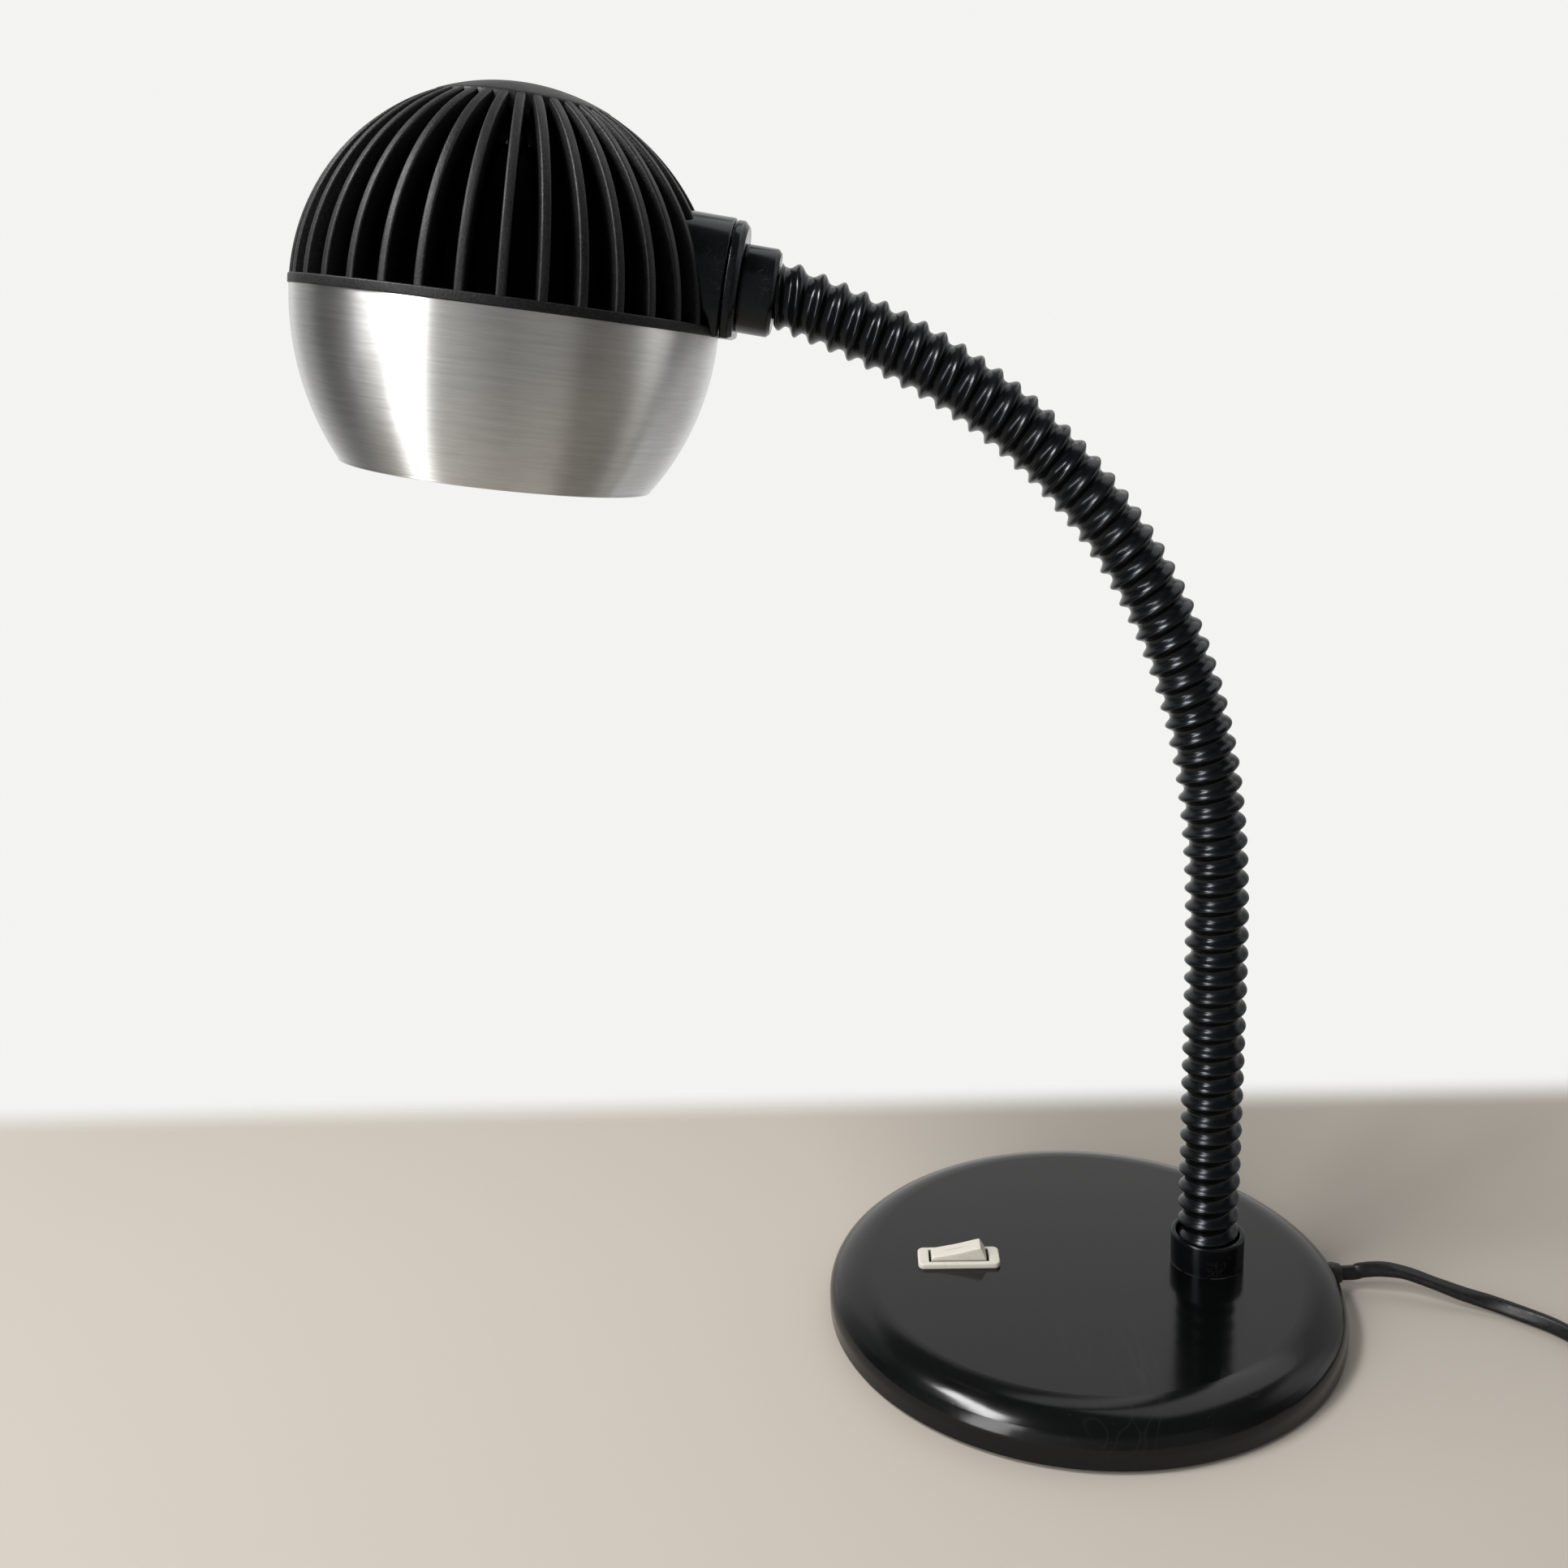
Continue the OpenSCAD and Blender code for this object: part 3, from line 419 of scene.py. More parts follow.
def gloss_plastic():
    """Black moulded plastic with faint flow marks and handling scuffs."""
    paint = Paint("black_plastic_gloss", INK, 0.25, specular=0.24)
    paint.set("Specular Tint", (0.86, 0.93, 1, 1))
    lines = paint.math("MULTIPLY", scratches(paint, 160, 0.012), 0.5)
    paint.join(paint.math("ADD", paint.ramp(paint.noise(120, 4), 0.3, 0.7, 0.14, 0.24),
                          paint.math("MULTIPLY", lines, 0.2)), "Roughness")
    paint.join(paint.mix(lines, INK, (0.02, 0.02, 0.02)), "Base Color")
    paint.bump(paint.noise(700, 3), 0.06, 0.0001)
    return paint.material


def vinyl():
    """Soft black vinyl of the sleeve, a little dull in patches, with dust in places."""
    paint = Paint("black_vinyl", INK, 0.3, specular=0.26)
    paint.set("Specular Tint", (0.86, 0.93, 1, 1))
    paint.join(paint.ramp(paint.noise(55, 4), 0.3, 0.7, 0.17, 0.27), "Roughness")
    dust = paint.ramp(paint.noise(420, 4), 0.6, 0.82, 0, 0.12)
    paint.join(paint.mix(dust, INK, (0.07, 0.07, 0.068)), "Base Color")
    paint.bump(paint.noise(500, 2), 0.025, 0.0001)
    return paint.material


def grained_plastic():
    """Fine matt moulding grain of the dome, dusty outside, with painted shade down between the fins: near
    black colour and almost no reflection.
    """
    paint = Paint("black_plastic_matt", (0.008, 0.008, 0.0085), 0.5, specular=0.3)
    paint.join(paint.ramp(paint.noise(60, 4), 0.3, 0.7, 0.42, 0.55), "Roughness")
    # Painted shade: colour and reflection fall away towards the inner dome, deep between the fins, where
    # shade falls
    outside = paint.ramp(paint.length(), 0.059, 0.066)
    dust = paint.math("MULTIPLY", paint.ramp(paint.noise(700, 4), 0.54, 0.8, 0, 0.14), outside)
    flecks = paint.ramp(paint.noise(1300, 2), 0.35, 0.7)
    speckle = paint.mix(flecks, (0.003, 0.003, 0.0032), (0.009, 0.009, 0.0094))
    grain = paint.mix(dust, speckle, (0.06, 0.06, 0.06))
    # Painted shade: near black inside the fin gaps, the grain and dust outside
    paint.join(paint.mix(outside, (0.0015, 0.0015, 0.0016), grain), "Base Color")
    paint.join(paint.ramp(outside, 0, 1, 0.03, 0.24), "Specular IOR Level")
    paint.bump(paint.noise(1500, 4), 0.45, 0.0003)
    return paint.material


def brushed_aluminium():
    """Spun aluminium: fine lines round the axis, patches of handling haze and a few small marks."""
    paint = Paint("brushed_aluminium", (0.66, 0.65, 0.635), 0.24, metallic=1)
    paint.set("Anisotropic", 1.0)
    paint.set("Anisotropic Rotation", 0.25)
    tangent = paint.nodes.new("ShaderNodeTangent")
    tangent.direction_type = "RADIAL"
    tangent.axis = "Z"
    paint.join(tangent.outputs[0], "Tangent")
    x, y, z = paint.axes()
    angle = paint.math("ARCTAN2", y, x)
    spun = paint.vector(paint.math("MULTIPLY", angle, 2.4), paint.math("MULTIPLY", z, 800), 0)
    lines = paint.noise(1, 6, spun, 0.8)
    haze = paint.noise(45, 4)
    dull = paint.ramp(haze, 0.45, 0.75, 0, 0.03)
    paint.join(paint.math("ADD", paint.ramp(lines, 0.3, 0.7, 0.36, 0.39), dull), "Roughness")
    marks = paint.ramp(paint.cells(75, paint.stretched((1, 1, 1.8))), 0.02, 0.05, 1, 0)
    marks = paint.math("MULTIPLY", marks, paint.ramp(paint.noise(26, 1), 0.5, 0.53))
    colour = paint.mix(paint.ramp(lines, 0.25, 0.75), (0.56, 0.555, 0.54), (0.74, 0.735, 0.72))
    paint.join(paint.mix(marks, colour, (0.3, 0.295, 0.29)), "Base Color")
    paint.bump(paint.math("ADD", lines, paint.math("MULTIPLY", marks, -2)), 0.03, 0.0001)
    return paint.material


def ivory():
    """Aged ivory plastic of the switch, with brown specks and painted shade, near black, in the gap round the
    rocker.
    """
    paint = Paint("ivory_plastic", (0.56, 0.53, 0.46), 0.38, specular=0.4)
    dirt = paint.ramp(paint.noise(320, 5), 0.52, 0.8)
    colour = paint.mix(paint.math("MULTIPLY", dirt, 0.5), (0.57, 0.54, 0.47), (0.4, 0.36, 0.29))
    # Painted shade: the occlusion mask turns the narrow gaps round the rocker near black
    paint.join(paint.mix(paint.crevice_shade(0.0014, 0.3, 0.62), colour, (0.006, 0.005, 0.004)), "Base Color")
    paint.join(paint.ramp(paint.noise(200, 3), 0.3, 0.7, 0.32, 0.46), "Roughness")
    paint.bump(paint.noise(1500, 2), 0.05, 0.0001)
    return paint.material


def speckled(name, dark, light, roughness, scale, metallic=0.0, depth=0.0001, specular=0.5):
    """Plain finish with a fine two-tone speckle and matching relief."""
    paint = Paint(name, dark, roughness, metallic, specular)
    field = paint.noise(scale, 4)
    paint.join(paint.mix(field, dark, light), "Base Color")
    paint.join(paint.ramp(field, 0.3, 0.7, roughness - 0.06, roughness + 0.08), "Roughness")
    paint.bump(field, 0.2, depth)
    return paint.material


def opal_glass():
    """White coated bulb glass."""
    paint = Paint("opal_glass", (0.86, 0.85, 0.81), 0.12)
    paint.set("Coat Weight", 0.5)
    paint.join(paint.mix(paint.noise(30, 3), (0.84, 0.83, 0.79), (0.88, 0.87, 0.84)), "Base Color")
    return paint.material


MATERIALS = {
    "satin_black_enamel": enamel(),
    "black_plastic_gloss": gloss_plastic(),
    "black_vinyl": vinyl(),
    "black_plastic_matt": grained_plastic(),
    "brushed_aluminium": brushed_aluminium(),
    "ivory_plastic": ivory(),
    "opal_glass": opal_glass(),
    "cast_iron": speckled("cast_iron", (0.1, 0.1, 0.1), (0.2, 0.19, 0.18), 0.6, 300, 0.8, 0.0004),
    "black_steel": speckled("black_steel", (0.02, 0.02, 0.02), (0.05, 0.05, 0.05), 0.5, 500),
    "black_felt": speckled("black_felt", (0.012, 0.012, 0.012), (0.05, 0.05, 0.05), 0.9, 1500, 0, 0.0006),
    "zinc_steel": speckled("zinc_steel", (0.5, 0.5, 0.52), (0.68, 0.68, 0.7), 0.32, 400, 1),
    "brass": speckled("brass", (0.6, 0.45, 0.2), (0.76, 0.6, 0.3), 0.3, 350, 1),
    "black_plastic_moulded": speckled("black_plastic_moulded", (0.006, 0.006, 0.0063), (0.014, 0.014, 0.0145),
                                      0.42, 900, specular=0.3),
    "black_cord": speckled("black_cord", (0.004, 0.004, 0.0042), (0.01, 0.01, 0.0105),
                           0.36, 700, specular=0.26),
    "nickel_pins": speckled("nickel_pins", (0.6, 0.58, 0.53), (0.72, 0.7, 0.65), 0.2, 300, 1),
}

for part in frame["record"]["subparts"]:
    for held in NODES[part["node"]].material_slots:
        held.material = MATERIALS[part["material_slot"]]


# Soft edges on the solids that stay in sight: width in millimetres
SOFT_EDGES = {"cord_tie": 0.2, "cord_bush": 0.25, "lamp_holder": 0.4, "cord_clamp": 0.2, "neck_nut": 0.3,
              "swivel_nut": 0.3, "shade_screws": 0.3, "base_screws": 0.25}
for name, width in SOFT_EDGES.items():
    weld = NODES[name].modifiers.new("weld", "WELD")
    weld.merge_threshold = 0.00001
    bevel = NODES[name].modifiers.new("soft_edges", "BEVEL")
    bevel.width = width * MM
    bevel.segments = 3
    bevel.limit_method = "ANGLE"
    bevel.angle_limit = math.radians(35)
    bevel.harden_normals = True


def dress(piece, slot, body=None, replaced=()):
    """Gives a new piece its finish, the body that it rides on and the nodes that it stands for."""
    piece.data.materials.append(MATERIALS[slot])
    if body:
        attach(piece, body)
    if replaced:
        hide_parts(*replaced)
    return piece


# Mains cord
def cord_path():
    """Centreline points and the roll of the flat side, from the exit through the coil to the plug."""
    out = Vector((math.cos(math.radians(CORD_ANGLE)), math.sin(math.radians(CORD_ANGLE)), 0))
    leave = out * (BASE_R + BUSH_OUT) + Vector((0, 0, CORD_Z))
    pitch = CORD_T + COIL_GAP
    sweep = 360 * COIL_TURNS + 180
    low = COIL_LIFT + CORD_W / 2
    coil = []
    for i in range(COIL_RINGS * sweep // 360 + 1):
        a = i * 360 / COIL_RINGS
        r = COIL_IN_R + pitch * abs(a - sweep / 2) / 360
        height = low + (CORD_W + COIL_GAP) * smooth((a - sweep / 2 + 90) / 180)
        turn = math.radians(180 + a)
        coil.append(Vector((COIL_C[0] + r * math.cos(turn), COIL_C[1] + r * math.sin(turn), height)))
    entry = coil[0] + Vector((0, 2 * CORD_W, 0))
    plug = Vector((coil[-1].x, coil[-1].y + 4 * CORD_W, PLUG_T / 2 + SEAT_GAP))
    free = [leave, leave + CORD_W * out] + [Vector(p) for p in CORD_ROUTE]
    free += [entry + Vector((0, CORD_W / 2, 0)), entry]
    rolls = [0, 5] + CORD_ROLL + [0, 0]
    ends = [coil[-1] + Vector((0, 1.6 * CORD_W, 0)), plug - Vector((0, CORD_W, 0)), plug]
    return free, rolls, coil, ends


def curve_through(points, values, steps):
    """Rounded course through the points, with the values carried along."""
    out = []
    last = len(points) - 1
    for i in range(last):
        a, b, c, d = (points[min(max(i + k, 0), last)] for k in (-1, 0, 1, 2))
        for s in range(steps):
            t = s / steps
            p = 0.5 * (2 * b + (c - a) * t + (2 * a - 5 * b + 4 * c - d) * t * t
                       + (3 * b - a - 3 * c + d) * t * t * t)
            out.append((p, values[i] + (values[i + 1] - values[i]) * smooth(t)))
    out.append((points[last], values[last]))
    return out


def flat_ring(centre, heading, roll, sides=20):
    """Oval section of the flat cord, upright at roll 0."""
    side = Vector((0, 0, 1)).cross(heading).normalized()
    up = heading.cross(side)
    turn = math.radians(roll)
    tall = up * math.cos(turn) + side * math.sin(turn)
    wide = side * math.cos(turn) - up * math.sin(turn)
    ring = []
    for j in range(sides):
        a = 2 * math.pi * j / sides
        across = math.copysign(abs(math.sin(a)) ** 0.8, math.sin(a))
        along = math.copysign(abs(math.cos(a)) ** 0.8, math.cos(a))
        ring.append(centre + tall * (CORD_W / 2 * along) + wide * (CORD_T / 2 * across))
    return ring


def plug_grip(at):
    """Moulded plug: a ribbed tail that tapers to the cord, a waisted grip and a flat face for the pins."""
    stations = []
    for i in range(41):
        t = i / 40
        rib = 0.55 * (0.5 - 0.5 * math.cos(2 * math.pi * 4 * t)) * (1 - 0.4 * t)
        half = CORD_W / 2 + 0.5 + 2 * t - rib
        stations.append((PLUG_TAIL_L * t, half, CORD_T / 2 + 0.8 + 2.2 * t - rib, 2))
    for i in range(1, 41):
        t = i / 40
        rise = smooth(t / 0.35)
        waist = 0.7 * math.sin(math.pi * min(max((t - 0.3) / 0.6, 0), 1)) ** 2
        edge = 0.6 * smooth((t - 0.96) / 0.04)
        stations.append((PLUG_TAIL_L + PLUG_L * t, 4.8 + (PLUG_W / 2 - 4.8) * rise - waist - edge,
                         4.6 + (PLUG_T / 2 - 4.6) * smooth(t / 0.25) - edge, 2 + 1.6 * rise))
    sections = []
    for y, half, thick, power in stations:
        ring = []
        for j in range(PLUG_SIDES):
            a = 2 * math.pi * j / PLUG_SIDES
            c, w = math.cos(a), math.sin(a)
            ring.append((at.x + half * math.copysign(abs(c) ** (2 / power), c), at.y + y,
                         at.z - thick * math.copysign(abs(w) ** (2 / power), w)))
        sections.append(ring)
    return loft("plug_grip", sections, 35)


def add_cord():
    free, rolls, coil, ends = cord_path()
    course = curve_through(free, rolls, 5) + [(p, 0) for p in coil]
    course += curve_through([coil[-1]] + ends, [0] * 4, 4)[1:]
    points = [p for p, _ in course]
    rings = []
    for i, (p, roll) in enumerate(course):
        heading = (points[min(i + 1, len(points) - 1)] - points[max(i - 1, 0)]).normalized()
        rings.append(flat_ring(p, heading, roll))
    piece = dress(loft("mains_cord", rings, 60), "black_cord", "base", ("cord", "cord_coil"))
    plug = dress(plug_grip(ends[-1]), "black_plastic_moulded", "base", ["plug_body"])


add_cord()


# Switch
ROCKER_GAP = 0.7
ROCKER_MID = 4.7
ROCKER_DISH = 0.04
ROCKER_EDGE = 0.6
BEZEL_EDGE = 0.7
WINDOW_EDGE = 0.25
WINDOW_CORNER = 0.3


def soft_rectangle(half_l, half_w, corner):
    """Points anticlockwise round a rectangle with round corners, with steps along its long sides."""
    corner = min(corner, half_l, half_w)
    out = []
    for along, across, start in ((1, 1, 0), (-1, 1, 90), (-1, -1, 180), (1, -1, 270)):
        straight = along * (half_l - corner)
        for i in range(7):
            a = math.radians(start + 15 * i)
            out.append((straight + corner * math.cos(a), across * (half_w - corner) + corner * math.sin(a)))
        if along == across:
            out += [(straight * (1 - i / 6), across * half_w) for i in range(1, 12)]
    return out


def switch_bezel():
    """Bezel with softened edges on the switch's body, and the well that the rocker sits in."""
    body = (BEZEL_L / 2 - 2, WINDOW_W / 2 + 1.1, WINDOW_CORNER)
    rings = [(*body, SWITCH_FLOOR), (*body, BASE_H), (BEZEL_L / 2, BEZEL_W / 2, BEZEL_CORNER, BASE_H + 0.02)]
    top = BASE_H + BEZEL_H
    for i in range(6):
        a = math.radians(18 * i)
        inset = BEZEL_EDGE * (1 - math.cos(a))
        rings.append((BEZEL_L / 2 - inset, BEZEL_W / 2 - inset, BEZEL_CORNER - inset,
                      top - BEZEL_EDGE * (1 - math.sin(a))))
    for i in range(4):
        a = math.radians(30 * i)
        out = WINDOW_EDGE * (1 - math.sin(a))
        rings.append((WINDOW_L / 2 + out, WINDOW_W / 2 + out, WINDOW_CORNER + out,
                      top - WINDOW_EDGE * (1 - math.cos(a))))
    rings.append((WINDOW_L / 2, WINDOW_W / 2, WINDOW_CORNER, SWITCH_FLOOR + SWITCH_WALL))
    at = Matrix.Translation(point(*SWITCH_AT, 0))
    sections = [[(x, y, z) for x, y in soft_rectangle(l, w, r)] for l, w, r, z in rings]
    return loft("switch_bezel", sections, 50, at)


def rocker_cap():
    """Rocker with a dished top, soft edges and ends on one circle about its pivot."""
    end_r = WINDOW_L / 2 - ROCKER_GAP
    half_w = WINDOW_W / 2 - ROCKER_GAP

    def top(x):
        return ROCKER_MID + ROCKER_DISH * (math.hypot(x, 2) - 2)
    shoulder = top(end_r) - ROCKER_EDGE
    sections = []
    for i in range(6):
        share = i / 5
        end_z = -ROCKER_UNDER + share * (shoulder + ROCKER_UNDER)
        outline = soft_rectangle(math.sqrt(end_r ** 2 - end_z ** 2), half_w, ROCKER_EDGE)
        sections.append([(x, y, -ROCKER_UNDER + share * (top(x) - ROCKER_EDGE + ROCKER_UNDER))
                         for x, y in outline])
    half_l = math.sqrt(end_r ** 2 - shoulder ** 2)
    insets = [(ROCKER_EDGE * (1 - math.cos(a)), ROCKER_EDGE * (1 - math.sin(a)))
              for a in (math.radians(18 * i) for i in range(1, 6))]
    insets += [(ROCKER_EDGE + (half_w - ROCKER_EDGE) * k, 0) for k in (0.35, 0.7, 0.95)]
    for inset, drop in insets:
        outline = soft_rectangle(half_l - inset, half_w - inset, ROCKER_EDGE)
        sections.append([(x, y, top(x) - drop) for x, y in outline])
    at = Matrix.Translation(point(*SWITCH_AT, PIVOT_Z)) @ Matrix.Rotation(math.radians(-ROCKER_TILT), 4, "Y")
    return loft("rocker_cap", sections, 50, at)


dress(switch_bezel(), "ivory_plastic", "base", ["switch_housing"])
dress(rocker_cap(), "ivory_plastic", "rocker", ["switch_rocker"])


# Neck
def neck_points():
    """Foot, joints and end of the neck, in millimetres in the middle plane."""
    found = [Vector((NECK_X, BASE_H + COLLAR_FLOOR))]
    for k in range(1, SECTIONS):
        joint = next(j for j in JOINTS.values() if j["child"] == f"neck_{k:02d}")
        found.append(Vector((joint["pos_m"][0], joint["pos_m"][2])) / MM)
    swivel = JOINTS["head_swivel"]
    end = Vector((swivel["pos_m"][0], swivel["pos_m"][2])) / MM
    found.append(end - SWIVEL_OFFSET * Vector((swivel["axis"][0], swivel["axis"][2])))
    return found


NECK = neck_points()
LEANS = [math.atan2(-(b - a).x, (b - a).y) for a, b in zip(NECK, NECK[1:])]
MIDDLES = [(a + b) / 2 for a, b in zip(NECK, NECK[1:])]
NECK_END = NECK[-1]
SWIVEL_LEAN = math.radians(90 - SWIVEL_TILT)


def neck_frame(s):
    """Centre and lean of the smooth neck at s, counted in sections from the foot."""
    if s <= 0.5:
        lean = LEANS[0]
        return NECK[0] + SECTION_L * s * Vector((-math.sin(lean), math.cos(lean))), lean
    if s >= SECTIONS - 0.5:
        lean = LEANS[-1]
        past = SECTION_L * (s - SECTIONS + 0.5)
        return MIDDLES[-1] + past * Vector((-math.sin(lean), math.cos(lean))), lean
    k = int(s - 0.5)
    t = s - 0.5 - k
    start, turn = LEANS[k], LEANS[k + 1] - LEANS[k]
    lean = start + turn * t
    if abs(turn) < 1e-6:
        return MIDDLES[k].lerp(MIDDLES[k + 1], t), lean
    r = SECTION_L / 2 / math.tan(turn / 2)
    return MIDDLES[k] + r * Vector((math.cos(lean) - math.cos(start), math.sin(lean) - math.sin(start))), lean


def neck_ring(s, radius, sides, extra=0):
    """Points round the neck at s: radius is a number or a function of the angle, and extra tips the ring."""
    centre, lean = neck_frame(s)
    lean += extra
    ring = []
    for j in range(sides):
        a = 2 * math.pi * j / sides
        r = radius(a) if callable(radius) else radius
        x = r * math.cos(a)
        ring.append((centre.x + x * math.cos(lean), r * math.sin(a), centre.y + x * math.sin(lean)))
    return ring


RIB_POWER = 1.5


def rib_radius(turn):
    """Radius of the sleeve at a share of a turn from the middle of a rib: narrow crests and wide grooves."""
    return ROOT_R + (CREST_R - ROOT_R) * (0.5 + 0.5 * math.cos(2 * math.pi * turn)) ** RIB_POWER


def sleeve_radius(s, angle):
    turns = s * SECTION_L / RIB_PITCH - angle / (2 * math.pi)
    return rib_radius(turns - 0.5)


SLEEVE_SIDES = 48
RINGS_PER_RIB = 22
CORE_SIDES = 20
LEAD_SIDES = 12
SPAN_STEPS = 8
RIB_OVERRUN = 1.5
SPIGOT_R = 7.9
SPIGOT_END = 2.6
SEAT_R = 8.35
SEAT_DEPTH = 3
SWAY_JOINTS = 4
CORE_START = (NIPPLE_TOP - BASE_H - COLLAR_FLOOR) / SECTION_L
CORE_TRIM = 0.7 / SECTION_L


def pipe_mesh(name, outer, inner):
    """A closed pipe from rings of the outer skin and rings of the bore."""
    sides = len(outer[0])
    points = [p for ring in outer + inner for p in ring]
    first = len(outer) * sides
    faces = grid_faces(len(outer), sides)
    faces += [f[::-1] for f in grid_faces(len(inner), sides, first=first)]
    far_out = first - sides
    far_in = first + (len(inner) - 1) * sides
    for j in range(sides):
        k = (j + 1) % sides
        faces.append((j, first + j, first + k, k))
        faces.append((far_out + k, far_in + k, far_in + j, far_out + j))
    return add_mesh(name, points, faces, 60)


def seat_rings(low):
    """Ball-shaped seat below the start of a stiff piece, which fills the gap where its joint bends."""
    drops = [SEAT_DEPTH * (1 - i / 4) for i in range(5)]
    return [neck_ring(low - drop / SECTION_L, math.sqrt(SEAT_R ** 2 - drop ** 2), SLEEVE_SIDES)
            for drop in drops]


def sleeve_piece(name, low, high, seated=False):
    count = round((high - low) * SECTION_L / RIB_PITCH * RINGS_PER_RIB)
    steps = [low + (high - low) * i / count for i in range(count + 1)]
    outer = [neck_ring(s, lambda a, s=s: sleeve_radius(s, a), SLEEVE_SIDES) for s in steps]
    bore = steps[::RINGS_PER_RIB // 2] + [high]
    if seated:
        outer = seat_rings(low) + outer
        bore = [low - SEAT_DEPTH / SECTION_L] + bore
    return pipe_mesh(name, outer, [neck_ring(s, SLEEVE_BORE_R, SLEEVE_SIDES) for s in bore])


def end_piece(name, low):
    """The last section: its ribs tip until they meet the ferrule square, and a plain spigot seats in it."""
    stop = SECTIONS + RIB_OVERRUN / SECTION_L
    tip = SECTIONS + SPIGOT_END / SECTION_L
    turn = SWIVEL_LEAN - LEANS[-1]

    def tipped(s, radius):
        return neck_ring(s, radius, SLEEVE_SIDES, turn * smooth((s - low - 0.5) / (stop - low - 0.5)))
    count = round((stop - low) * SECTION_L / RIB_PITCH * RINGS_PER_RIB)
    steps = [low + (stop - low) * i / count for i in range(count + 1)]
    outer = seat_rings(low) + [tipped(s, lambda a, s=s: sleeve_radius(s, a)) for s in steps]
    outer += [tipped(stop, SPIGOT_R), tipped(tip, SPIGOT_R)]
    start = low - SEAT_DEPTH / SECTION_L
    inner = [tipped(start + (tip - start) * i / SPAN_STEPS, SLEEVE_BORE_R) for i in range(SPAN_STEPS + 1)]
    return pipe_mesh(name, outer, inner)


def core_piece(name, low, high):
    steps = [low + (high - low) * i / SPAN_STEPS for i in range(SPAN_STEPS + 1)]
    outer = [neck_ring(s, CORE_R, CORE_SIDES) for s in steps]
    inner = [neck_ring(s, CORE_BORE_R, CORE_SIDES) for s in steps]
    return pipe_mesh(name, outer, inner)


def lead_piece(name, low, high):
    steps = [low + (high - low) * i / SPAN_STEPS for i in range(SPAN_STEPS + 1)]
    return loft(name, [neck_ring(s, LEAD_R, LEAD_SIDES) for s in steps], 60)


def swept(name, points, radius, sides=LEAD_SIDES):
    """A round cord along the points."""
    side = Vector((0, 1, 0))
    rings = []
    for i, p in enumerate(points):
        heading = (points[min(i + 1, len(points) - 1)] - points[max(i - 1, 0)]).normalized()
        side = (side - heading * side.dot(heading)).normalized()
        up = side.cross(heading)
        turns = [2 * math.pi * j / sides for j in range(sides)]
        rings.append([p + radius * (up * math.cos(a) + side * math.sin(a)) for a in turns])
    return loft(name, rings, 60)


def lead_foot():
    """The lead from the switch through the base and up to the middle of the first section."""
    stops = [Vector(p) for p in LEAD_ROUTE] + [Vector((MIDDLES[0].x, 0, MIDDLES[0].y))]
    return swept("lead_foot", [p for p, _ in curve_through(stops, [0] * len(stops), 4)], LEAD_R)


def lead_end():
    """The lead from the start of the last section into the lamp holder."""
    tip = NECK_END + LEAD_TIP * Vector((-math.sin(SWIVEL_LEAN), math.cos(SWIVEL_LEAN)))
    start = neck_frame(SECTIONS - 1)[0]
    stops = [Vector((p.x, 0, p.y)) for p in (start, MIDDLES[-1], NECK_END, (NECK_END + tip) / 2, tip)]
    return swept("lead_end", [p for p, _ in curve_through(stops, [0] * len(stops), 6)], LEAD_R)


def neck_body(k):
    return "base" if k == 0 else f"neck_{k:02d}"


SLEEVES = tuple(f"neck_sleeve_{k:02d}" for k in range(SECTIONS))


def add_span(name, low, high, body=None, replaced=(), seated=False):
    """Sleeve, core and lead of one stretch of the neck. A stiff core stops short of its joints."""
    trim = CORE_TRIM if seated else 0
    return [dress(sleeve_piece(f"sleeve_{name}", low, high, seated), "black_vinyl", body, replaced),
            dress(core_piece(f"core_{name}", max(low + trim, CORE_START), high - trim), "zinc_steel", body),
            dress(lead_piece(f"neck_lead_{name}", low, high), "black_cord", body)]


def add_neck():
    """The lower pieces run from the middle of one section to the next, across the swaying joints, and ride on
    no body.
    The upper ones are stiff, one to a body, on ball-shaped seats."""
    dress(sleeve_piece("sleeve_foot", 0, 0.5), "black_vinyl", "base", SLEEVES[:1])
    for k in range(1, SWAY_JOINTS + 1):
        for piece in add_span(f"{k:02d}", k - 0.5, k + 0.5, None, SLEEVES[k:k + 1]):
            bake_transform(piece)
    add_span("half", SWAY_JOINTS + 0.5, SWAY_JOINTS + 1, neck_body(SWAY_JOINTS))
    for k in range(SWAY_JOINTS + 1, SECTIONS - 1):
        add_span(f"{k:02d}", k, k + 1, neck_body(k), SLEEVES[k:k + 1], True)
    last = neck_body(SECTIONS - 1)
    dress(end_piece("sleeve_end", SECTIONS - 1), "black_vinyl", last, SLEEVES[-1:])
    dress(core_piece("core_end", SECTIONS - 1 + CORE_TRIM, SECTIONS + 0.1), "zinc_steel", last, ["neck_core"])
    dress(lead_foot(), "black_cord", "base", ["neck_flex"])
    dress(lead_end(), "black_cord", last)


add_neck()


# Frames of the swivel and the head
def swivel_matrix():
    return Matrix.Translation(point(NECK_END.x, 0, NECK_END.y)) @ Matrix.Rotation(-SWIVEL_LEAN, 4, "Y")


def head_matrix():
    tilt = math.radians(HEAD_TILT)
    along = Vector((-math.sin(SWIVEL_LEAN), math.cos(SWIVEL_LEAN)))
    at = NECK_END + HEAD_AXIS_Z * along - BOSS_Z * Vector((math.sin(tilt), math.cos(tilt)))
    return Matrix.Translation(point(at.x, 0, at.y)) @ Matrix.Rotation(tilt, 4, "Y")


SWIVEL = swivel_matrix()
HEAD = head_matrix()

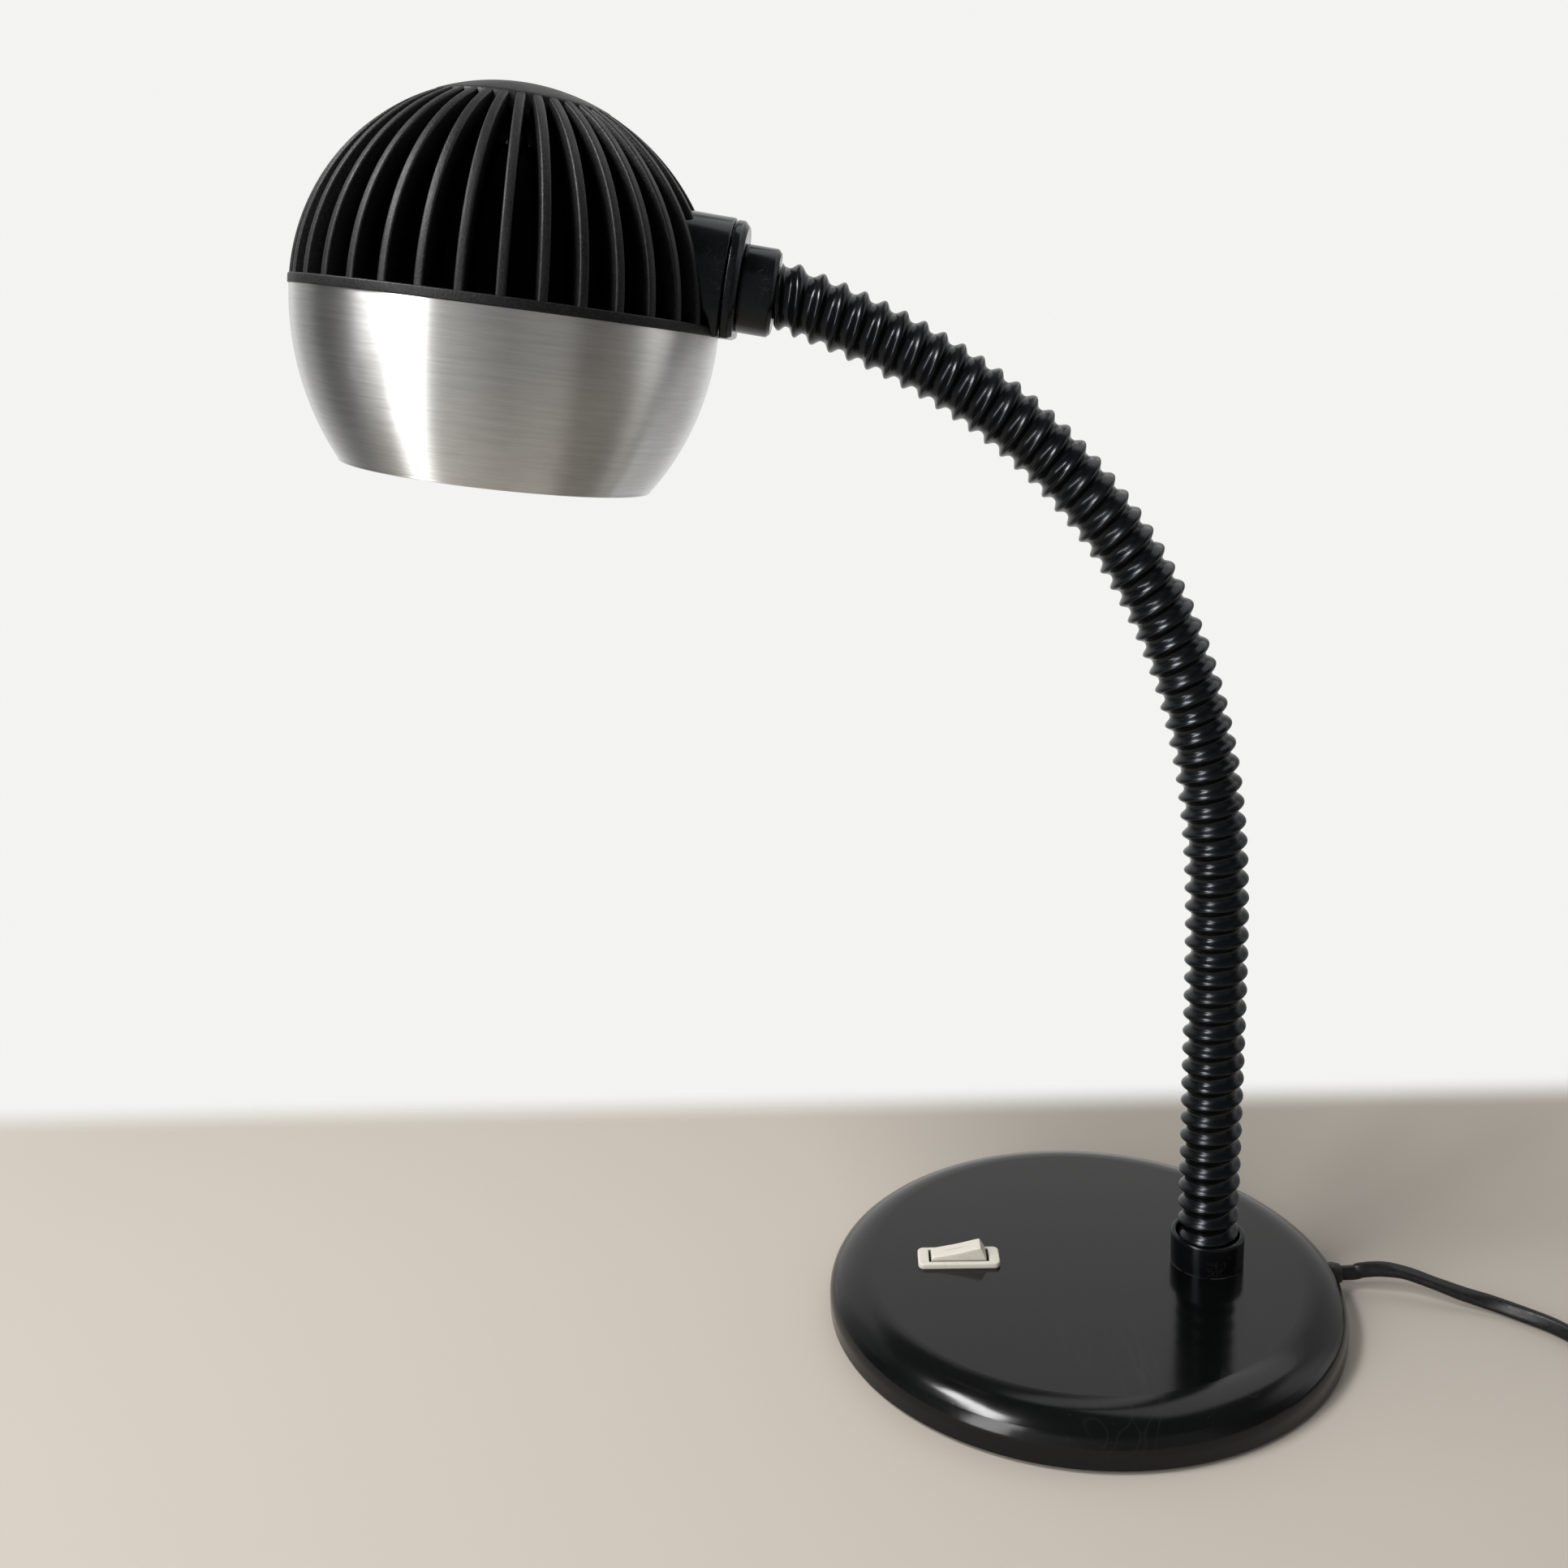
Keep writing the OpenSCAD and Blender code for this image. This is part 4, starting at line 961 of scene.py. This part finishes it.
# Collar and ferrule
def add_turned_pieces():
    foot = Matrix.Translation(point(NECK_X, 0, BASE_H))
    collar = rounded([
        (COLLAR_BORE_R, 0.02, 0), (COLLAR_R, 0.02, 0.25), (COLLAR_R, COLLAR_H, 0.9),
        (CREST_R + 0.5, COLLAR_H, 0.5), (CREST_R + 0.5, COLLAR_FLOOR, 0), (COLLAR_BORE_R, COLLAR_FLOOR, 0)])
    dress(lathe("collar", collar, 160, matrix=foot), "black_plastic_gloss", "base", ["neck_collar"])
    end_z = FERRULE_FACE + FERRULE_L
    ferrule = rounded([
        (CORE_R + 0.4, FERRULE_FACE + 1, 0), (BALL_R + 0.4, FERRULE_FACE, 0.3),
        (FERRULE_R - 1.2, FERRULE_FACE, 0.4), (FERRULE_R, FERRULE_FACE + 1.2, 0.5), (FERRULE_R, end_z, 0.4),
        (5, end_z, 0), (5, FERRULE_FACE + 5, 0), (CORE_R + 0.4, FERRULE_FACE + 5, 0)])
    ferrule_piece = lathe("ferrule", ferrule, 128, matrix=SWIVEL)
    dress(ferrule_piece, "black_plastic_gloss", neck_body(SECTIONS - 1), ["neck_ferrule"])


add_turned_pieces()

# Dome
INNER_R = DOME_R - FIN_DEPTH + 0.5
FIN_FOOT_R = INNER_R - DOME_T / 2
FIN_EDGE = 0.75
FIN_RINGS = 44
FIN_SINK = 0.5
BOSS_BORE_R = 5.05
CAP_TOP_R = DOME_R + 0.15
CAP_T = 4
CAP_EDGE = 0.7


def arc(radius, low, high, steps=24, centre=(0, 0)):
    """Points of (radius, height) on a circle between two angles in degrees."""
    angles = [math.radians(low + (high - low) * i / steps) for i in range(steps + 1)]
    return [(centre[0] + radius * math.cos(a), centre[1] + radius * math.sin(a)) for a in angles]


def dome_skin():
    """Foot ring and inner dome in one turned shell."""
    vent = math.degrees(math.asin(VENT_Z / INNER_R))
    vent_in = math.degrees(math.asin(VENT_Z / (INNER_R - DOME_T)))
    start = math.degrees(math.asin(FLANGE_H / INNER_R))
    foot = rounded([(INNER_R - DOME_T, 0, 0), (DOME_R + 0.4, 0, 0.4), (DOME_R + 0.4, FLANGE_H, 0.6),
                    (INNER_R + 1, FLANGE_H, 0)], closed=False)
    outline = foot + arc(INNER_R, start, vent) + arc(INNER_R - DOME_T, vent_in, 1)
    return lathe("dome_shell", outline, 160, matrix=HEAD)


def dome_cap():
    """The smooth polar cap, level with the fins, with a rounded edge."""
    crown = math.degrees(math.acos((CAP_R - CAP_EDGE) / CAP_TOP_R))
    low_r = CAP_TOP_R - CAP_T
    edge = math.sqrt(CAP_TOP_R ** 2 - CAP_R ** 2)
    side = [(CAP_R - 0.2, edge - 0.1), (CAP_R, edge - CAP_EDGE), (CAP_R, math.sqrt(low_r ** 2 - CAP_R ** 2))]
    under = arc(low_r, math.degrees(math.acos((CAP_R - 1) / low_r)), 89.99, 8)
    return lathe("dome_cap", arc(CAP_TOP_R, 89.99, crown, 20) + side + under, 160, closed=False, matrix=HEAD)


def fin_section():
    """Outline of a fin across its length: a plate whose outer edge is rounded."""
    half = FIN_T / 2
    corners = [(FIN_FOOT_R, -half, 0), (DOME_R, -half, FIN_EDGE),
               (DOME_R, half, FIN_EDGE), (FIN_FOOT_R, half, 0)]
    return rounded(corners, 4)


def dome_fins():
    section = fin_section()
    low = math.degrees(math.asin((FLANGE_H - FIN_SINK) / DOME_R))
    high = math.degrees(math.acos((CAP_R - 2) / DOME_R))
    columns = len(section)
    points = []
    faces = []
    for i in range(FIN_COUNT):
        turn = 2 * math.pi * i / FIN_COUNT
        first = len(points)
        for k in range(FIN_RINGS + 1):
            a = math.radians(low + (high - low) * k / FIN_RINGS)
            for r, across in section:
                out = r * math.cos(a)
                points.append((out * math.cos(turn) - across * math.sin(turn),
                               out * math.sin(turn) + across * math.cos(turn),
                               max(r * math.sin(a), FLANGE_H - FIN_SINK)))
        faces += grid_faces(FIN_RINGS + 1, columns, first=first)
        faces.append(tuple(first + j for j in reversed(range(columns))))
        faces.append(tuple(first + FIN_RINGS * columns + j for j in range(columns)))
    return add_mesh("dome_fins", points, faces, 50, HEAD)


def on_boss(p):
    """From a place on the swivel's axis to the head's frame, cut level with the foot of the dome."""
    pitch = math.radians(SWIVEL_TILT - HEAD_TILT)
    x, y, z = p
    out = z * math.cos(pitch) - x * math.sin(pitch)
    height = BOSS_Z - z * math.sin(pitch) - x * math.cos(pitch)
    corner = out - (BOSS_END + SWIVEL_WASHER_T + RING_T - RING_CUT)
    return out, y, max(height, corner, 0.02)


def dome_boss():
    """Round boss that carries the head."""
    start = INNER_R - 4
    outline = rounded([(BOSS_BORE_R, start, 0), (BOSS_R, start, 0), (BOSS_R, BOSS_END, 0.6),
                       (BOSS_BORE_R, BOSS_END, 0)])
    return lathe("dome_boss", outline, 256, matrix=HEAD, shape=on_boss)


def swivel_collar():
    """Ring between the boss and the ferrule, with a sloped outer edge."""
    low = BOSS_END + SWIVEL_WASHER_T
    high = low + RING_T
    outline = rounded([(BOSS_BORE_R, low, 0), (RING_R, low, 0.5), (RING_R, high - RING_CUT, 0.6),
                       (RING_R - RING_CUT, high, 0.5), (BOSS_BORE_R, high, 0)])
    return lathe("swivel_collar", outline, 256, matrix=HEAD, shape=on_boss)


def add_dome():
    dress(dome_skin(), "black_plastic_matt", "head", ["dome"])
    for piece in (dome_cap(), dome_fins()):
        dress(piece, "black_plastic_matt", "head")
    dress(dome_boss(), "black_plastic_gloss", "head")
    dress(swivel_collar(), "black_plastic_gloss", "head", ["swivel_ring"])


add_dome()

# Shade
SHADE_DROP = DOME_R - SHADE_RIM_R
SHADE_ARC = (SHADE_DROP ** 2 + SHADE_H ** 2) / (2 * SHADE_DROP)
SHADE_LIP = 9
RIM_BEAD = 0.9
# Dents: direction in degrees, height, size and depth in millimetres
DENTS = [(-72, -30, 3, 0.12), (-118, -22, 2.2, 0.1), (-58, -44, 2.4, 0.1), (30, -20, 4, 0.15),
         (140, -35, 3, 0.12)]


def dented(p):
    x, y, z = p
    angle = math.degrees(math.atan2(y, x))
    r = math.hypot(x, y)
    push = 0.03 * math.sin(math.radians(3 * angle + 40)) + 0.02 * math.sin(math.radians(7 * angle) + z * 0.1)
    for at, height, size, depth in DENTS:
        away = (math.radians((angle - at + 180) % 360 - 180) * r) ** 2 + (z - height) ** 2
        push -= depth * math.exp(-away / size ** 2)
    k = 1 + push / r if z < -2 else 1
    return x * k, y * k, z


def add_shade():
    sweep = math.degrees(math.asin(SHADE_H / SHADE_ARC))
    centre = (DOME_R - SHADE_ARC, 0)
    outside = arc(SHADE_ARC, 0, -sweep, 48, centre)
    inside = arc(SHADE_ARC - SHADE_T, -sweep, -1, 48, centre)
    bead = arc(RIM_BEAD, -10, -190, 10, (SHADE_RIM_R - SHADE_T, -SHADE_H))
    lip = [(DOME_R - SHADE_LIP, -SHADE_T), (DOME_R - SHADE_LIP, -0.02), (DOME_R - 0.5, -0.02)]
    outline = outside + bead + inside + lip
    shade = lathe("spun_shade", outline, 256, matrix=HEAD, sharp=30, shape=dented)
    dress(shade, "brushed_aluminium", "head", ["shade"])


add_shade()

# Floor, light and surroundings
FLOOR_R = 1200
FLOOR_SIDES = 96
FLOOR_DROP = 0.2
LINEN = (0.425, 0.387, 0.34)


def add_floor():
    turns = [2 * math.pi * i / FLOOR_SIDES for i in range(FLOOR_SIDES)]
    edge = [(FLOOR_R * math.cos(a), FLOOR_R * math.sin(a), 0) for a in turns]
    floor = add_mesh("floor", edge, [tuple(range(FLOOR_SIDES))])
    floor.data.materials.append(floor_material())
    floor.location.z = -FLOOR_DROP * MM


def floor_material():
    """Pale linen that fades out into the white background, behind the lamp first."""
    paint = Paint("floor", LINEN, 0.9, specular=0.1)
    depth = paint.axes()[1]
    within = paint.math("MULTIPLY", paint.ramp(depth, -0.42, -0.16), paint.ramp(depth, 0.147, 0.18, 1, 0))
    paint.join(paint.math("MULTIPLY", paint.ramp(paint.radius(), 0.42, 1.0, 1, 0), within), "Alpha")
    return paint.material


def add_light(name, at, size, power, aim=(-50, 0, 200)):
    data = bpy.data.lights.new(name, "AREA")
    data.shape = "RECTANGLE"
    data.size, data.size_y = size
    data.energy = power
    light = bpy.data.objects.new(name, data)
    bpy.context.collection.objects.link(light)
    light.location = point(*at)
    light.rotation_euler = (point(*aim) - light.location).to_track_quat("-Z", "Y").to_euler()


# Brightness of the room by direction in degrees, counted from the front towards +X
ROOM = [(-180, 0.95), (-140, 0.9), (-128, 0.5), (-116, 0.34), (-104, 0.08), (-92, 0.13), (-80, 0.2),
        (-66, 0.28), (-28, 0.62), (-14, 0.5), (-2, 0.34), (12, 0.25), (26, 0.32), (44, 0.32), (54, 0.11),
        (76, 0.11), (86, 0.3), (96, 1.1), (106, 1.1), (116, 0.55), (140, 0.5), (152, 0.65), (166, 0.9),
        (180, 0.95)]


def add_surroundings():
    """A room that is brighter in some directions, which gives the metal its bands, under a dark ceiling.
    The camera sees a plain white background in its place."""
    world = bpy.data.worlds.new("studio")
    world.use_nodes = True
    nodes, links = world.node_tree.nodes, world.node_tree.links
    back = nodes["Background"]
    split = nodes.new("ShaderNodeSeparateXYZ")
    links.new(nodes.new("ShaderNodeTexCoord").outputs["Generated"], split.inputs[0])
    front = nodes.new("ShaderNodeMath")
    front.operation = "MULTIPLY"
    front.inputs[1].default_value = -1
    links.new(split.outputs[1], front.inputs[0])
    turn = nodes.new("ShaderNodeMath")
    turn.operation = "ARCTAN2"
    links.new(split.outputs[0], turn.inputs[0])
    links.new(front.outputs[0], turn.inputs[1])
    share = nodes.new("ShaderNodeMapRange")
    for k, value in enumerate((-math.pi, math.pi, 0, 1)):
        share.inputs[k + 1].default_value = value
    links.new(turn.outputs[0], share.inputs[0])
    room = nodes.new("ShaderNodeValToRGB")
    stops = room.color_ramp.elements
    while len(stops) < len(ROOM):
        stops.new(0.5)
    for stop, (angle, value) in zip(stops, ROOM):
        stop.position = (angle + 180) / 360
        stop.color = (value, value, value * 0.985, 1)
    links.new(share.outputs[0], room.inputs["Fac"])
    height = nodes.new("ShaderNodeMapRange")
    height.interpolation_type = "SMOOTHSTEP"
    for k, value in enumerate((0.63, 0.73, 0, 1)):
        height.inputs[k + 1].default_value = value
    links.new(split.outputs[2], height.inputs[0])
    ceiling = nodes.new("ShaderNodeMix")
    ceiling.data_type = "RGBA"
    ceiling.inputs[7].default_value = (0.12, 0.12, 0.12, 1)
    links.new(height.outputs[0], ceiling.inputs["Factor"])
    links.new(room.outputs[0], ceiling.inputs[6])
    seen = nodes.new("ShaderNodeMix")
    seen.data_type = "RGBA"
    seen.inputs[7].default_value = (0.9, 0.9, 0.885, 1)
    links.new(nodes.new("ShaderNodeLightPath").outputs["Is Camera Ray"], seen.inputs["Factor"])
    links.new(ceiling.outputs[2], seen.inputs[6])
    links.new(seen.outputs[2], back.inputs["Color"])
    bpy.context.scene.world = world
    add_light("window", (-1162, -1151, 800), (0.52, 1.7), 26, aim=(-150, 0, 250))
    add_light("lamp", (-660, -240, 1031), (0.5, 0.2), 11, aim=(-46, -76, 13))
    add_light("overhead", (500, 600, 1500), (1.2, 1.2), 6)


add_floor()
add_surroundings()
bpy.context.scene.view_settings.view_transform = "Standard"
